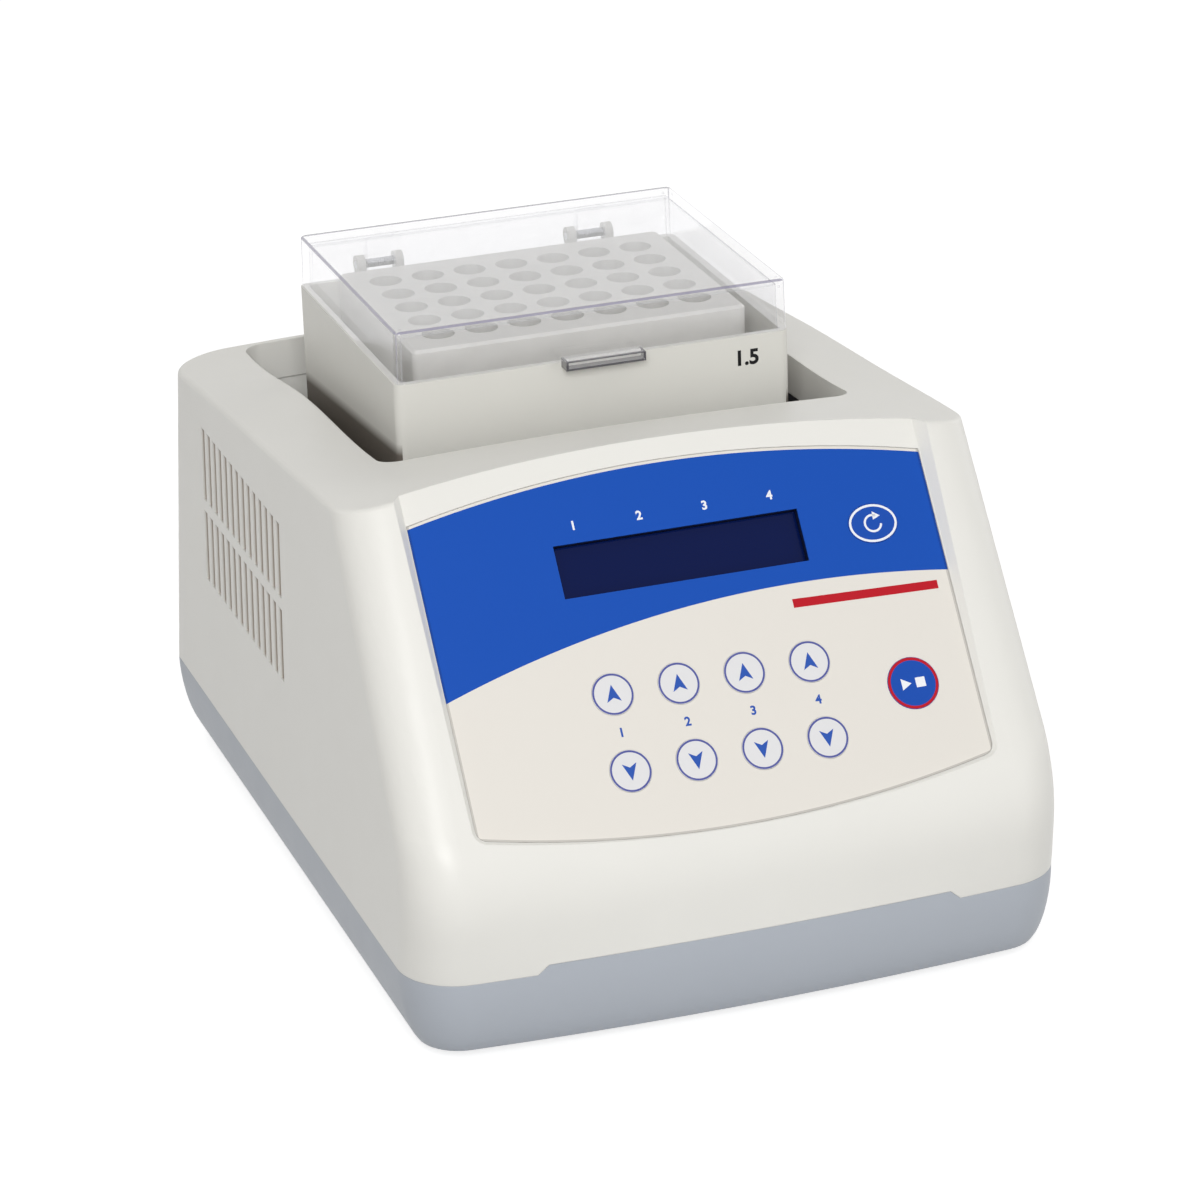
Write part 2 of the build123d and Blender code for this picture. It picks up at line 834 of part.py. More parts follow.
deck_front = recess_front - collar_wall - deck_margin

with BuildPart() as deck_plate:
    with BuildSketch(Plane.XY.offset(deck_bottom)):
        with Locations((recess_x, (deck_front + deck_rear) / 2)):
            RectangleRounded(
                2 * (recess_half_x + collar_wall + deck_margin), deck_rear - deck_front, recess_corner
            )
        with Locations(*column_places):
            Circle(screw_radius + clearance_hole, mode=Mode.SUBTRACT)
        with Locations((0, shaft_y)):
            Circle(shaft_hole, mode=Mode.SUBTRACT)
            with PolarLocations(motor_screw_circle, 4, start_angle=45):
                Circle(small_screw_radius + clearance_hole, mode=Mode.SUBTRACT)
        with Locations(*idler_axes):
            Circle(idler_shoulder + 0.5, mode=Mode.SUBTRACT)
    extrude(amount=deck_thickness)
    with BuildSketch(Plane.XY.offset(deck_top)):
        with Locations((0, shaft_y)):
            with PolarLocations(motor_screw_circle, 4, start_angle=45):
                Circle(small_head + 0.2)
    extrude(amount=-small_head_height - 0.1, mode=Mode.SUBTRACT)

deck_plate.part.label = "deck_plate"
export_step(deck_plate.part, "parts/deck_plate.step")

with BuildPart() as frame_screws:
    add(
        pan_screws(
            column_places,
            Plane.XY.offset(deck_top),
            screw_head,
            screw_head_height,
            screw_radius,
            frame_screw_length,
        )
    )
    add(
        pan_screws(
            turned(column_places),
            facing_down(chassis_z),
            screw_head,
            screw_head_height,
            screw_radius,
            frame_screw_length,
        )
    )

frame_screws.part.label = "frame_screws"
export_step(frame_screws.part, "parts/frame_screws.step")

# ================================================================== motor, crank and idlers
with BuildPart() as motor:
    with BuildSketch(Plane.XZ.offset(-shaft_y)):
        with BuildLine():
            Polyline(
                (0, deck_bottom - motor_height),
                (motor_radius - 3, deck_bottom - motor_height),
                (motor_radius, deck_bottom - motor_height + 3),
                (motor_radius, deck_bottom - motor_collar - 2),
                (motor_radius - 2, deck_bottom - motor_collar),
                (motor_collar_radius, deck_bottom - motor_collar),
                (motor_collar_radius, deck_bottom),
                (0, deck_bottom),
                close=True,
            )
        make_face()
    revolve(axis=Axis((0, shaft_y, 0), (0, 0, 1)))
    with BuildSketch(Plane.XY.offset(deck_bottom)):
        with Locations((0, shaft_y)):
            Circle(crank_pin_radius + running_gap)
    extrude(amount=-motor_height + 4, mode=Mode.SUBTRACT)
    with BuildSketch(Plane.XY.offset(deck_bottom)):
        with Locations((0, shaft_y)):
            with PolarLocations(motor_screw_circle, 4, start_angle=45):
                Circle(small_screw_radius)
    extrude(amount=-motor_thread, mode=Mode.SUBTRACT)

motor.part.label = "motor"
export_step(motor.part, "parts/motor.step")

with BuildPart() as drive_crank:
    with BuildSketch(Plane.XY.offset(deck_bottom - motor_height + 5)):
        with Locations((0, shaft_y)):
            Circle(crank_pin_radius)
    extrude(amount=crank_bottom + 1 - deck_bottom + motor_height - 5)
    with BuildSketch(Plane.XY.offset(crank_bottom)):
        with Locations((0, shaft_y)):
            Circle(crank_radius)
    extrude(amount=crank_thickness)
    with BuildSketch(Plane.XY.offset(crank_bottom + crank_thickness)):
        with Locations((0, drive_y)):
            Circle(crank_shoulder)
    extrude(amount=plate_bottom - seat_gap - crank_bottom - crank_thickness)
    with BuildSketch(Plane.XY.offset(crank_bottom + crank_thickness)):
        with Locations((0, drive_y)):
            Circle(crank_pin_radius)
    extrude(amount=plate_bottom + crank_bearing_width - 0.5 - crank_bottom - crank_thickness)
    with BuildSketch(Plane.XY.offset(crank_bottom + crank_thickness)):
        with Locations(*weight_pin_places):
            Circle(weight_pin_radius)
    extrude(amount=weight_thickness)

drive_crank.part.label = "drive_crank"
export_step(drive_crank.part, "parts/drive_crank.step")

with BuildPart() as counterweight:
    with BuildSketch(Plane.XY.offset(crank_bottom + crank_thickness)):
        with Locations((0, shaft_y)):
            Circle(weight_radius)
            Circle(crank_shoulder + orbit_radius + 1.5, mode=Mode.SUBTRACT)
        with Locations((0, shaft_y + weight_radius / 2 + weight_edge)):
            Rectangle(3 * weight_radius, weight_radius, mode=Mode.SUBTRACT)
        with Locations(*weight_pin_places):
            Circle(weight_pin_radius, mode=Mode.SUBTRACT)
    extrude(amount=weight_thickness)

counterweight.part.label = "counterweight"
export_step(counterweight.part, "parts/counterweight.step")

with BuildPart() as idler_cups:
    for x, y in idler_axes:
        with BuildSketch(Plane.XZ.offset(-y)):
            with BuildLine():
                Polyline(
                    (x + idler_shoulder + 1, deck_bottom - cup_height),
                    (x + cup_radius, deck_bottom - cup_height),
                    (x + cup_radius, deck_bottom - cup_flange),
                    (x + cup_radius + 3, deck_bottom - cup_flange),
                    (x + cup_radius + 3, deck_bottom),
                    (x + idler_bearing_outer, deck_bottom),
                    (x + idler_bearing_outer, deck_bottom - idler_bearing_width),
                    (x + idler_shoulder + 1, deck_bottom - idler_bearing_width),
                    close=True,
                )
            make_face()
        revolve(axis=Axis((x, y, 0), (0, 0, 1)))

idler_cups.part.label = "idler_cups"
export_step(idler_cups.part, "parts/idler_cups.step")

with BuildPart() as idler_lower_bearings:
    with BuildSketch(Plane.XY.offset(deck_bottom - idler_bearing_width)):
        with Locations(*idler_axes):
            Circle(idler_bearing_outer)
            Circle(idler_pin_radius + running_gap, mode=Mode.SUBTRACT)
    extrude(amount=idler_bearing_width)

idler_lower_bearings.part.label = "idler_lower_bearings"
export_step(idler_lower_bearings.part, "parts/idler_lower_bearings.step")

for name, x, y in idler_places:
    axis_y = shaft_y + y
    pin_y = drive_y + y
    with BuildPart() as idler:
        with BuildSketch(Plane.XY.offset(deck_bottom - cup_height)):
            with Locations((x, axis_y)):
                Circle(idler_pin_radius)
        extrude(amount=cup_height + seat_gap)
        with BuildSketch(Plane.XY.offset(deck_bottom + seat_gap)):
            with Locations((x, axis_y)):
                Circle(idler_shoulder)
        extrude(amount=crank_bottom - deck_bottom - seat_gap)
        with BuildSketch(Plane.XY.offset(crank_bottom)):
            with Locations((x, axis_y)):
                Circle(idler_disc)
        extrude(amount=crank_thickness)
        with BuildSketch(Plane.XY.offset(crank_bottom + crank_thickness)):
            with Locations((x, pin_y)):
                Circle(idler_shoulder)
        extrude(amount=plate_bottom - seat_gap - crank_bottom - crank_thickness)
        with BuildSketch(Plane.XY.offset(plate_bottom - seat_gap)):
            with Locations((x, pin_y)):
                Circle(idler_pin_radius)
        extrude(amount=idler_bearing_width - 0.5)
    idler.part.label = f"idler_{name}"
    export_step(idler.part, f"parts/idler_{name}.step")

# ================================================================== orbiting carriage
carriage_half_x = cover_half_x - cover_wall - 0.2
carriage_half_y = cover_half_y - cover_wall - 0.2

with BuildPart() as orbit_plate:
    with BuildSketch(Plane.XY.offset(plate_bottom)):
        with Locations((0, drive_y)):
            RectangleRounded(2 * carriage_half_x, 2 * carriage_half_y, 2)
    extrude(amount=plate_thickness)
    with BuildSketch(Plane.XY.offset(plate_bottom)):
        with Locations((0, drive_y)):
            Circle(crank_bearing_outer)
    extrude(amount=crank_bearing_width, mode=Mode.SUBTRACT)
    with BuildSketch(Plane.XY.offset(plate_bottom)):
        with Locations(*idler_pins):
            Circle(idler_bearing_outer)
    extrude(amount=idler_bearing_width, mode=Mode.SUBTRACT)
    with BuildSketch(Plane.XY.offset(plate_top)):
        with Locations(*heater_screw_places):
            Circle(small_screw_radius)
    extrude(amount=-heater_screw_grip, mode=Mode.SUBTRACT)
    for side in (-1, 1):
        with BuildSketch(Plane.XZ.offset(-drive_y - side * carriage_half_y)):
            with Locations(*cover_screw_places):
                Circle(small_screw_radius)
        extrude(amount=side * cover_screw_grip, mode=Mode.SUBTRACT)

orbit_plate.part.label = "orbit_plate"
export_step(orbit_plate.part, "parts/orbit_plate.step")

with BuildPart() as crank_bearing:
    with BuildSketch(Plane.XY.offset(plate_bottom)):
        with Locations((0, drive_y)):
            Circle(crank_bearing_outer)
            Circle(crank_pin_radius + running_gap, mode=Mode.SUBTRACT)
    extrude(amount=crank_bearing_width)

crank_bearing.part.label = "crank_bearing"
export_step(crank_bearing.part, "parts/crank_bearing.step")

with BuildPart() as idler_upper_bearings:
    with BuildSketch(Plane.XY.offset(plate_bottom)):
        with Locations(*idler_pins):
            Circle(idler_bearing_outer)
            Circle(idler_pin_radius + running_gap, mode=Mode.SUBTRACT)
    extrude(amount=idler_bearing_width)

idler_upper_bearings.part.label = "idler_upper_bearings"
export_step(idler_upper_bearings.part, "parts/idler_upper_bearings.step")


def carriage_slab(bottom, thickness, grow, corner, hole):
    """A slab under the tube block, grown past it all round, with its four screw holes."""
    with BuildPart() as slab:
        with BuildSketch(Plane.XY.offset(bottom)):
            with Locations((0, drive_y)):
                RectangleRounded(2 * (block_half_x + grow), 2 * (block_half_y + grow), corner)
            with Locations(*heater_screw_places):
                Circle(hole, mode=Mode.SUBTRACT)
        extrude(amount=thickness)
    return slab.part


with BuildPart() as insulation_pad:
    add(carriage_slab(plate_top, pad_thickness, 3, 2, small_screw_radius + clearance_hole))

insulation_pad.part.label = "insulation_pad"
export_step(insulation_pad.part, "parts/insulation_pad.step")

with BuildPart() as heater_mat:
    add(carriage_slab(pad_top, mat_thickness, -1, 4, small_screw_radius + clearance_hole))

heater_mat.part.label = "heater_mat"
export_step(heater_mat.part, "parts/heater_mat.step")

with BuildPart() as heater_plate:
    add(carriage_slab(mat_top, heater_thickness, 1, 3, small_screw_radius + clearance_hole))
    with BuildSketch(Plane.XY.offset(heater_top)):
        with Locations(*heater_screw_places):
            Circle(small_head + 0.2)
    extrude(amount=-small_head_height - 0.3, mode=Mode.SUBTRACT)
    with BuildSketch(Plane.XY.offset(heater_top)):
        with Locations(*locating_places):
            Circle(locating_radius)
    extrude(amount=-4, mode=Mode.SUBTRACT)
    with BuildSketch(Plane.XZ.offset(-drive_y + block_half_y + 1)):
        with Locations((sensor_x, mat_top + heater_thickness / 2)):
            Circle(sensor_radius)
    extrude(amount=-sensor_length, mode=Mode.SUBTRACT)

heater_plate.part.label = "heater_plate"
export_step(heater_plate.part, "parts/heater_plate.step")

with BuildPart() as temperature_sensor:
    with BuildSketch(Plane.XZ.offset(-drive_y + block_half_y + 1)):
        with Locations((sensor_x, mat_top + heater_thickness / 2)):
            Circle(sensor_radius)
    extrude(amount=-sensor_length)
    with BuildSketch(Plane.XZ.offset(-drive_y + block_half_y + 1)):
        with Locations((sensor_x, mat_top + heater_thickness / 2)):
            Circle(sensor_radius + 0.6)
    extrude(amount=3)

temperature_sensor.part.label = "temperature_sensor"
export_step(temperature_sensor.part, "parts/temperature_sensor.step")

with BuildPart() as locating_pins:
    with BuildSketch(Plane.XY.offset(heater_top - 4)):
        with Locations(*locating_places):
            Circle(locating_radius)
    extrude(amount=8)
    chamfer(locating_pins.edges().group_by(Axis.Z)[-1], 0.5)

locating_pins.part.label = "locating_pins"
export_step(locating_pins.part, "parts/locating_pins.step")

with BuildPart() as tube_block:
    with BuildSketch(Plane.XY.offset(heater_top)):
        with Locations((0, drive_y)):
            RectangleRounded(2 * block_half_x, 2 * block_half_y, 2.5)
    extrude(amount=block_top - heater_top)
    chamfer(tube_block.faces().sort_by(Axis.Z)[-1].edges(), 1.0)
    with BuildSketch(Plane.XY.offset(block_top)):
        with Locations((0, drive_y)):
            with GridLocations(well_pitch, well_pitch, well_columns, well_rows):
                Circle(well_radius)
    extrude(amount=-well_straight, mode=Mode.SUBTRACT)
    with BuildSketch(Plane.XY.offset(block_top - well_straight)):
        with Locations((0, drive_y)):
            with GridLocations(well_pitch, well_pitch, well_columns, well_rows):
                Circle(well_radius)
    extrude(amount=-(well_depth - well_straight), taper=well_taper, mode=Mode.SUBTRACT)
    with BuildSketch(Plane.XY.offset(heater_top)):
        with Locations(*locating_places):
            Circle(locating_radius + 0.1)
    extrude(amount=5, mode=Mode.SUBTRACT)

tube_block.part.label = "tube_block"
export_step(tube_block.part, "parts/tube_block.step")

# ================================================================== carriage cover, hinge and lid
cover_rear = drive_y + cover_half_y

with BuildPart() as carriage_cover:
    with BuildSketch(Plane.XY.offset(cover_bottom)):
        with Locations((0, drive_y)):
            RectangleRounded(2 * cover_half_x, 2 * cover_half_y, cover_corner)
            RectangleRounded(
                2 * (cover_half_x - cover_wall), 2 * (cover_half_y - cover_wall), 1.0, mode=Mode.SUBTRACT
            )
    extrude(amount=cover_top - cover_bottom)
    # hinge ears either side of each lid knuckle
    for middle in (-hinge_x, hinge_x):
        for side in (-1, 1):
            start = middle + side * (knuckle_width / 2 + ear_gap)
            with BuildSketch(Plane.YZ.offset(start)):
                with BuildLine():
                    Polyline(
                        (cover_rear - 0.5, hinge_z - 15),
                        (cover_rear - 0.5, cover_top - 0.6),
                        (cover_rear + 0.5, cover_top - 0.2),
                        (hinge_y - knuckle_radius, hinge_z),
                        (hinge_y + knuckle_radius, hinge_z),
                        (cover_rear + 0.4, hinge_z - 15),
                        close=True,
                    )
                make_face()
                with Locations((hinge_y, hinge_z)):
                    Circle(knuckle_radius)
                    Circle(hinge_pin_radius, mode=Mode.SUBTRACT)
            extrude(amount=side * ear_width)
    for side in (-1, 1):
        with BuildSketch(Plane.XZ.offset(-drive_y - side * cover_half_y)):
            with Locations(*cover_screw_places):
                Circle(small_screw_radius + clearance_hole)
        extrude(amount=side * (cover_wall + 0.1), mode=Mode.SUBTRACT)

carriage_cover.part.label = "carriage_cover"
export_step(carriage_cover.part, "parts/carriage_cover.step")

front_screw_plane = Plane(origin=(0, drive_y - cover_half_y, 0), x_dir=(1, 0, 0), z_dir=(0, -1, 0))
rear_screw_plane = Plane(origin=(0, cover_rear, 0), x_dir=(-1, 0, 0), z_dir=(0, 1, 0))

heater_screw_seat = heater_top - small_head_height - 0.3
heater_screw_length = heater_screw_seat - plate_top + heater_screw_grip - 0.5
cover_screw_length = cover_wall + 0.2 + cover_screw_grip - 0.5

with BuildPart() as carriage_screws:
    for places, plane, length in (
        (heater_screw_places, Plane.XY.offset(heater_screw_seat), heater_screw_length),
        (cover_screw_places, front_screw_plane, cover_screw_length),
        (cover_screw_places, rear_screw_plane, cover_screw_length),
    ):
        add(pan_screws(places, plane, small_head, small_head_height, small_screw_radius, length))

carriage_screws.part.label = "carriage_screws"
export_step(carriage_screws.part, "parts/carriage_screws.step")

with BuildPart() as hinge_pins:
    for middle in (-hinge_x, hinge_x):
        half = knuckle_width / 2 + ear_gap + ear_width
        with BuildSketch(Plane.YZ.offset(middle - half)):
            with Locations((hinge_y, hinge_z)):
                Circle(hinge_pin_radius)
        extrude(amount=2 * half)

hinge_pins.part.label = "hinge_pins"
export_step(hinge_pins.part, "parts/hinge_pins.step")

with BuildPart() as lid:
    with BuildSketch(Plane.XY.offset(lid_bottom)):
        with Locations((0, drive_y)):
            RectangleRounded(2 * lid_half_x, 2 * lid_half_y, 2.5)
    extrude(amount=lid_height, taper=lid_draft)
    fillet(lid.faces().sort_by(Axis.Z)[-1].edges(), 1.2)
    with BuildSketch(Plane.XY.offset(lid_bottom)):
        with Locations((0, drive_y)):
            RectangleRounded(2 * (lid_half_x - lid_wall), 2 * (lid_half_y - lid_wall), 1.0)
    extrude(amount=lid_height - lid_wall, taper=lid_draft, mode=Mode.SUBTRACT)
    # grip ledge along the front edge, reaching down in front of the cover
    with BuildSketch(Plane.YZ.offset(grip_x - grip_half)):
        with BuildLine():
            Polyline(
                (drive_y - lid_half_y + 1, lid_bottom),
                (drive_y - lid_half_y + 1, lid_bottom + grip_rise),
                (drive_y - lid_half_y - grip_reach, lid_bottom + grip_rise),
                (drive_y - lid_half_y - grip_reach, lid_bottom - grip_drop),
                (drive_y - cover_half_y - 0.5, lid_bottom - grip_drop),
                (drive_y - cover_half_y - 0.5, lid_bottom),
                close=True,
            )
        make_face()
    extrude(amount=2 * grip_half)
    # hinge tabs up the rear wall, each ending in a knuckle
    for middle in (-hinge_x, hinge_x):
        with BuildSketch(Plane.YZ.offset(middle - knuckle_width / 2)):
            with BuildLine():
                Polyline(
                    (drive_y + lid_half_y - 1.5, hinge_z + tab_rise),
                    (drive_y + lid_half_y + tab_proud, hinge_z + tab_rise),
                    (hinge_y + knuckle_radius - 0.4, hinge_z + 1.2),
                    (hinge_y, hinge_z),
                    (drive_y + lid_half_y - 1.5, lid_bottom + 0.6),
                    close=True,
                )
            make_face()
            with Locations((hinge_y, hinge_z)):
                Circle(knuckle_radius)
                Circle(hinge_pin_radius + hinge_gap, mode=Mode.SUBTRACT)
        extrude(amount=knuckle_width)

lid.part.label = "lid"
export_step(lid.part, "parts/lid.step")

# ================================================================== control panel
with BuildPart() as panel_overlay:
    with BuildSketch(panel_plane.offset(-overlay_pocket)) as film:
        with BuildLine():
            overlay_outline(0)
        make_face()
        fillet(film.vertices().sort_by(Axis.Y)[:2], overlay_corner)
        with Locations((0, (window_low + window_high) / 2)):
            Rectangle(2 * window_half, window_high - window_low, mode=Mode.SUBTRACT)
        for name, place in key_places():
            with Locations(place):
                Circle(key_radius + key_gap, mode=Mode.SUBTRACT)
        with Locations(start_place):
            Circle(start_radius + key_gap, mode=Mode.SUBTRACT)
        with Locations(pulse_place):
            Ellipse(pulse_radii[0] + key_gap, pulse_radii[1] + key_gap, mode=Mode.SUBTRACT)
    extrude(amount=overlay_thickness)

panel_overlay.part.label = "panel_overlay"
export_step(panel_overlay.part, "parts/panel_overlay.step")

with BuildPart() as display_lens:
    with BuildSketch(panel_plane.offset(-glass_depth - glass_thickness)):
        with Locations((0, (window_low + window_high) / 2)):
            Rectangle(2 * window_half - 0.3, window_high - window_low - 0.3)
    extrude(amount=glass_thickness)

display_lens.part.label = "display_lens"
export_step(display_lens.part, "parts/display_lens.step")

with BuildPart() as lcd_module:
    with BuildSketch(panel_plane.offset(board_front)):
        with Locations((0, (window_low + window_high) / 2)):
            Rectangle(2 * window_half + 12, window_high - window_low + 10)
    extrude(amount=-glass_depth - glass_thickness - board_front)

lcd_module.part.label = "lcd_module"
export_step(lcd_module.part, "parts/lcd_module.step")

with BuildPart() as display_board:
    with BuildSketch(panel_plane.offset(board_front - board_thickness)):
        with Locations(((board_left + board_right) / 2, (board_low + board_high) / 2)):
            Rectangle(board_right - board_left, board_high - board_low)
        with Locations(*board_places):
            Circle(small_screw_radius + clearance_hole, mode=Mode.SUBTRACT)
    extrude(amount=board_thickness)
    with BuildSketch(panel_plane.offset(board_front - board_thickness)):
        with Locations((ribbon_x, header_v)):
            Rectangle(ribbon_width + 4, header_width)
    extrude(amount=-header_height)

display_board.part.label = "display_board"
export_step(display_board.part, "parts/display_board.step")

with BuildPart() as key_switches:
    switch_places = [place for name, place in key_places()] + [start_place, pulse_place]
    with BuildSketch(panel_plane.offset(board_front)):
        with Locations(*switch_places):
            Rectangle(6, 6)
    extrude(amount=3.4)
    with BuildSketch(panel_plane.offset(board_front)):
        with Locations(*switch_places):
            Circle(1.7)
    extrude(amount=switch_top - board_front)

key_switches.part.label = "key_switches"
export_step(key_switches.part, "parts/key_switches.step")


def export_key(name, place, radii):
    """One key: a round or oval cap in the overlay on a stem towards its switch."""
    with BuildPart() as key:
        with BuildSketch(panel_plane.offset(-overlay_pocket)):
            with Locations(place):
                if radii[0] == radii[1]:
                    Circle(radii[0])
                else:
                    Ellipse(*radii)
        extrude(amount=overlay_thickness + key_proud)
        with BuildSketch(panel_plane.offset(-overlay_pocket)):
            with Locations(place):
                Circle(key_stem_radius)
        extrude(amount=stem_end + overlay_pocket)
    key.part.label = name
    export_step(key.part, f"parts/{name}.step")


for name, place in key_places():
    export_key(name, place, (key_radius, key_radius))
export_key("key_start_stop", start_place, (start_radius, start_radius))
export_key("key_pulse", pulse_place, pulse_radii)

# ================================================================== electronics
with BuildPart() as power_supply:
    with BuildSketch(Plane.XY.offset(chassis_top)):
        with Locations(supply_place):
            RectangleRounded(supply_width, supply_length, 1.5)
    extrude(amount=supply_height)
    with BuildSketch(Plane.XY.offset(chassis_top + supply_height)):
        with Locations(supply_place):
            with GridLocations(8, 10, 6, 9):
                Rectangle(6, 2.4)
    extrude(amount=-1.2, mode=Mode.SUBTRACT)

power_supply.part.label = "power_supply"
export_step(power_supply.part, "parts/power_supply.step")

with BuildPart() as main_board:
    with BuildSketch(Plane.XY.offset(main_board_z)):
        with Locations(main_board_place):
            RectangleRounded(main_board_width, main_board_length, 2)
        with Locations(*main_board_screws):
            Circle(small_screw_radius + clearance_hole, mode=Mode.SUBTRACT)
    extrude(amount=board_thickness)

main_board.part.label = "main_board"
export_step(main_board.part, "parts/main_board.step")

with BuildPart() as board_standoffs:
    with BuildSketch(Plane.XY.offset(chassis_top)):
        with Locations(*main_board_screws):
            RegularPolygon(3.2, 6)
            Circle(small_screw_radius, mode=Mode.SUBTRACT)
    extrude(amount=main_board_z - chassis_top)

board_standoffs.part.label = "board_standoffs"
export_step(board_standoffs.part, "parts/board_standoffs.step")

with BuildPart() as board_components:
    top = main_board_z + board_thickness
    x, y = main_board_place
    with BuildSketch(Plane.XY.offset(top)):
        with Locations((x, y + 52)):
            Rectangle(34, 26)
    extrude(amount=24)
    with BuildSketch(Plane.XY.offset(top)):
        with Locations((x - 13, y + 22), (x + 1, y + 22), (x + 15, y + 22)):
            Circle(5.5)
    extrude(amount=18)
    # finned heat sink
    with BuildSketch(Plane.XY.offset(top)):
        with Locations((x, y - 6)):
            Rectangle(40, 22)
    extrude(amount=3)
    with BuildSketch(Plane.XY.offset(top)):
        with Locations((x, y - 6)):
            with GridLocations(5, 1, 8, 1):
                Rectangle(1.6, 22)
    extrude(amount=18)
    with BuildSketch(Plane.XY.offset(top)):
        with Locations((x - 8, y - 40)):
            Rectangle(14, 14)
    extrude(amount=1.6)
    with BuildSketch(Plane.XY.offset(top)):
        with Locations((ribbon_x, ribbon_end_y)):
            Rectangle(ribbon_width + 4, header_width)
    extrude(amount=header_height)

board_components.part.label = "board_components"
export_step(board_components.part, "parts/board_components.step")

board_back = Plane(
    origin=panel_plane.offset(board_front - board_thickness).origin,
    x_dir=(-1, 0, 0),
    z_dir=-panel_plane.z_dir,
)

fan_back = Plane(origin=(0, rear - wall - fan_boss - fan_depth, fan_z), x_dir=(1, 0, 0), z_dir=(0, -1, 0))
fan_screw_places = [(x, z) for x in (-fan_screw, fan_screw) for z in (-fan_screw, fan_screw)]
motor_screw_places = [
    (motor_screw_circle * cos(radians(angle)), shaft_y + motor_screw_circle * sin(radians(angle)))
    for angle in (45, 135, 225, 315)
]
motor_screw_seat = deck_top - small_head_height - 0.1

with BuildPart() as small_screws:
    for places, plane, length in (
        (support_places, Plane.XY.offset(chassis_top), chassis_top - tray_floor - 1.5),
        (main_board_screws, Plane.XY.offset(main_board_z + board_thickness), board_thickness + 4),
        ([(-x, v) for x, v in board_places], board_back, board_thickness + 4),
        (fan_screw_places, fan_back, fan_depth + fan_boss),
        (motor_screw_places, Plane.XY.offset(motor_screw_seat), motor_screw_seat - deck_bottom + motor_thread - 0.5),
    ):
        add(pan_screws(places, plane, small_head, small_head_height, small_screw_radius, length))

small_screws.part.label = "small_screws"
export_step(small_screws.part, "parts/small_screws.step")

# flat cable from the display board's header down to the main board's
header_end = panel_plane.offset(board_front - board_thickness - header_height)
cable_start = header_end.from_local_coords((0, header_v))
cable_turn = header_end.offset(-14).from_local_coords((0, header_v))
cable_top = main_board_z + board_thickness + header_height

with BuildPart() as ribbon_cable:
    with BuildSketch(Plane.YZ.offset(ribbon_x)):
        with BuildLine() as route:
            FilletPolyline(
                (cable_start.Y, cable_start.Z),
                (cable_turn.Y, cable_turn.Z),
                (ribbon_end_y, cable_turn.Z - 8),
                (ribbon_end_y, cable_top),
                radius=4,
            )
        trace(line_width=ribbon_thickness)
    extrude(amount=ribbon_width / 2, both=True)

ribbon_cable.part.label = "ribbon_cable"
export_step(ribbon_cable.part, "parts/ribbon_cable.step")

# ================================================================== fan
fan_outer_y = rear - wall - fan_boss
fan_inner_y = fan_outer_y - fan_depth
fan_axis = Axis((0, 0, fan_z), (0, 1, 0))

with BuildPart() as fan_frame:
    with BuildSketch(Plane.XZ.offset(-fan_outer_y)):
        with Locations((0, fan_z)):
            RectangleRounded(fan_size, fan_size, 4)
            Circle(fan_hole + 0.5, mode=Mode.SUBTRACT)
            with GridLocations(2 * fan_screw, 2 * fan_screw, 2, 2):
                Circle(small_screw_radius + clearance_hole, mode=Mode.SUBTRACT)
    extrude(amount=fan_depth)
    with BuildSketch(Plane.XZ.offset(-fan_inner_y - fan_strut)):
        with Locations((0, fan_z)):
            Circle(fan_hub)
            Rectangle(2 * fan_hole + 4, 4, rotation=45)
            Rectangle(2 * fan_hole + 4, 4, rotation=-45)
            Circle(fan_spindle + running_gap, mode=Mode.SUBTRACT)
    extrude(amount=fan_strut)

fan_frame.part.label = "fan_frame"
export_step(fan_frame.part, "parts/fan_frame.step")

with BuildPart() as fan_rotor:
    with BuildSketch(Plane.XZ.offset(-fan_outer_y + 1)):
        with Locations((0, fan_z)):
            Circle(fan_hub)
    extrude(amount=fan_depth - fan_strut - 2)
    with BuildSketch(Plane.XZ.offset(-fan_outer_y + 2)):
        with Locations((0, fan_z)):
            Circle(fan_spindle)
    extrude(amount=fan_depth - 2.5)
    for blade in range(fan_blades):
        angle = 360 * blade / fan_blades
        out = Vector(cos(radians(angle)), 0, sin(radians(angle)))
        middle = Vector(0, fan_outer_y - 1 - (fan_depth - fan_strut - 2) / 2, fan_z)
        for radius, pitch in ((fan_hub - 1.5, 52), (fan_hole - 0.6, 34)):
            root = Plane(origin=middle + out * radius, x_dir=(0, 1, 0), z_dir=out)
            with BuildSketch(root):
                Rectangle(blade_chord, blade_thickness, rotation=90 - pitch)
        loft()

fan_rotor.part.label = "fan_rotor"
export_step(fan_rotor.part, "parts/fan_rotor.step")

# ================================================================== mains inlet
flange_y = rear - inlet_recess + flange_thickness
inlet_back = rear - inlet_recess - inlet_depth

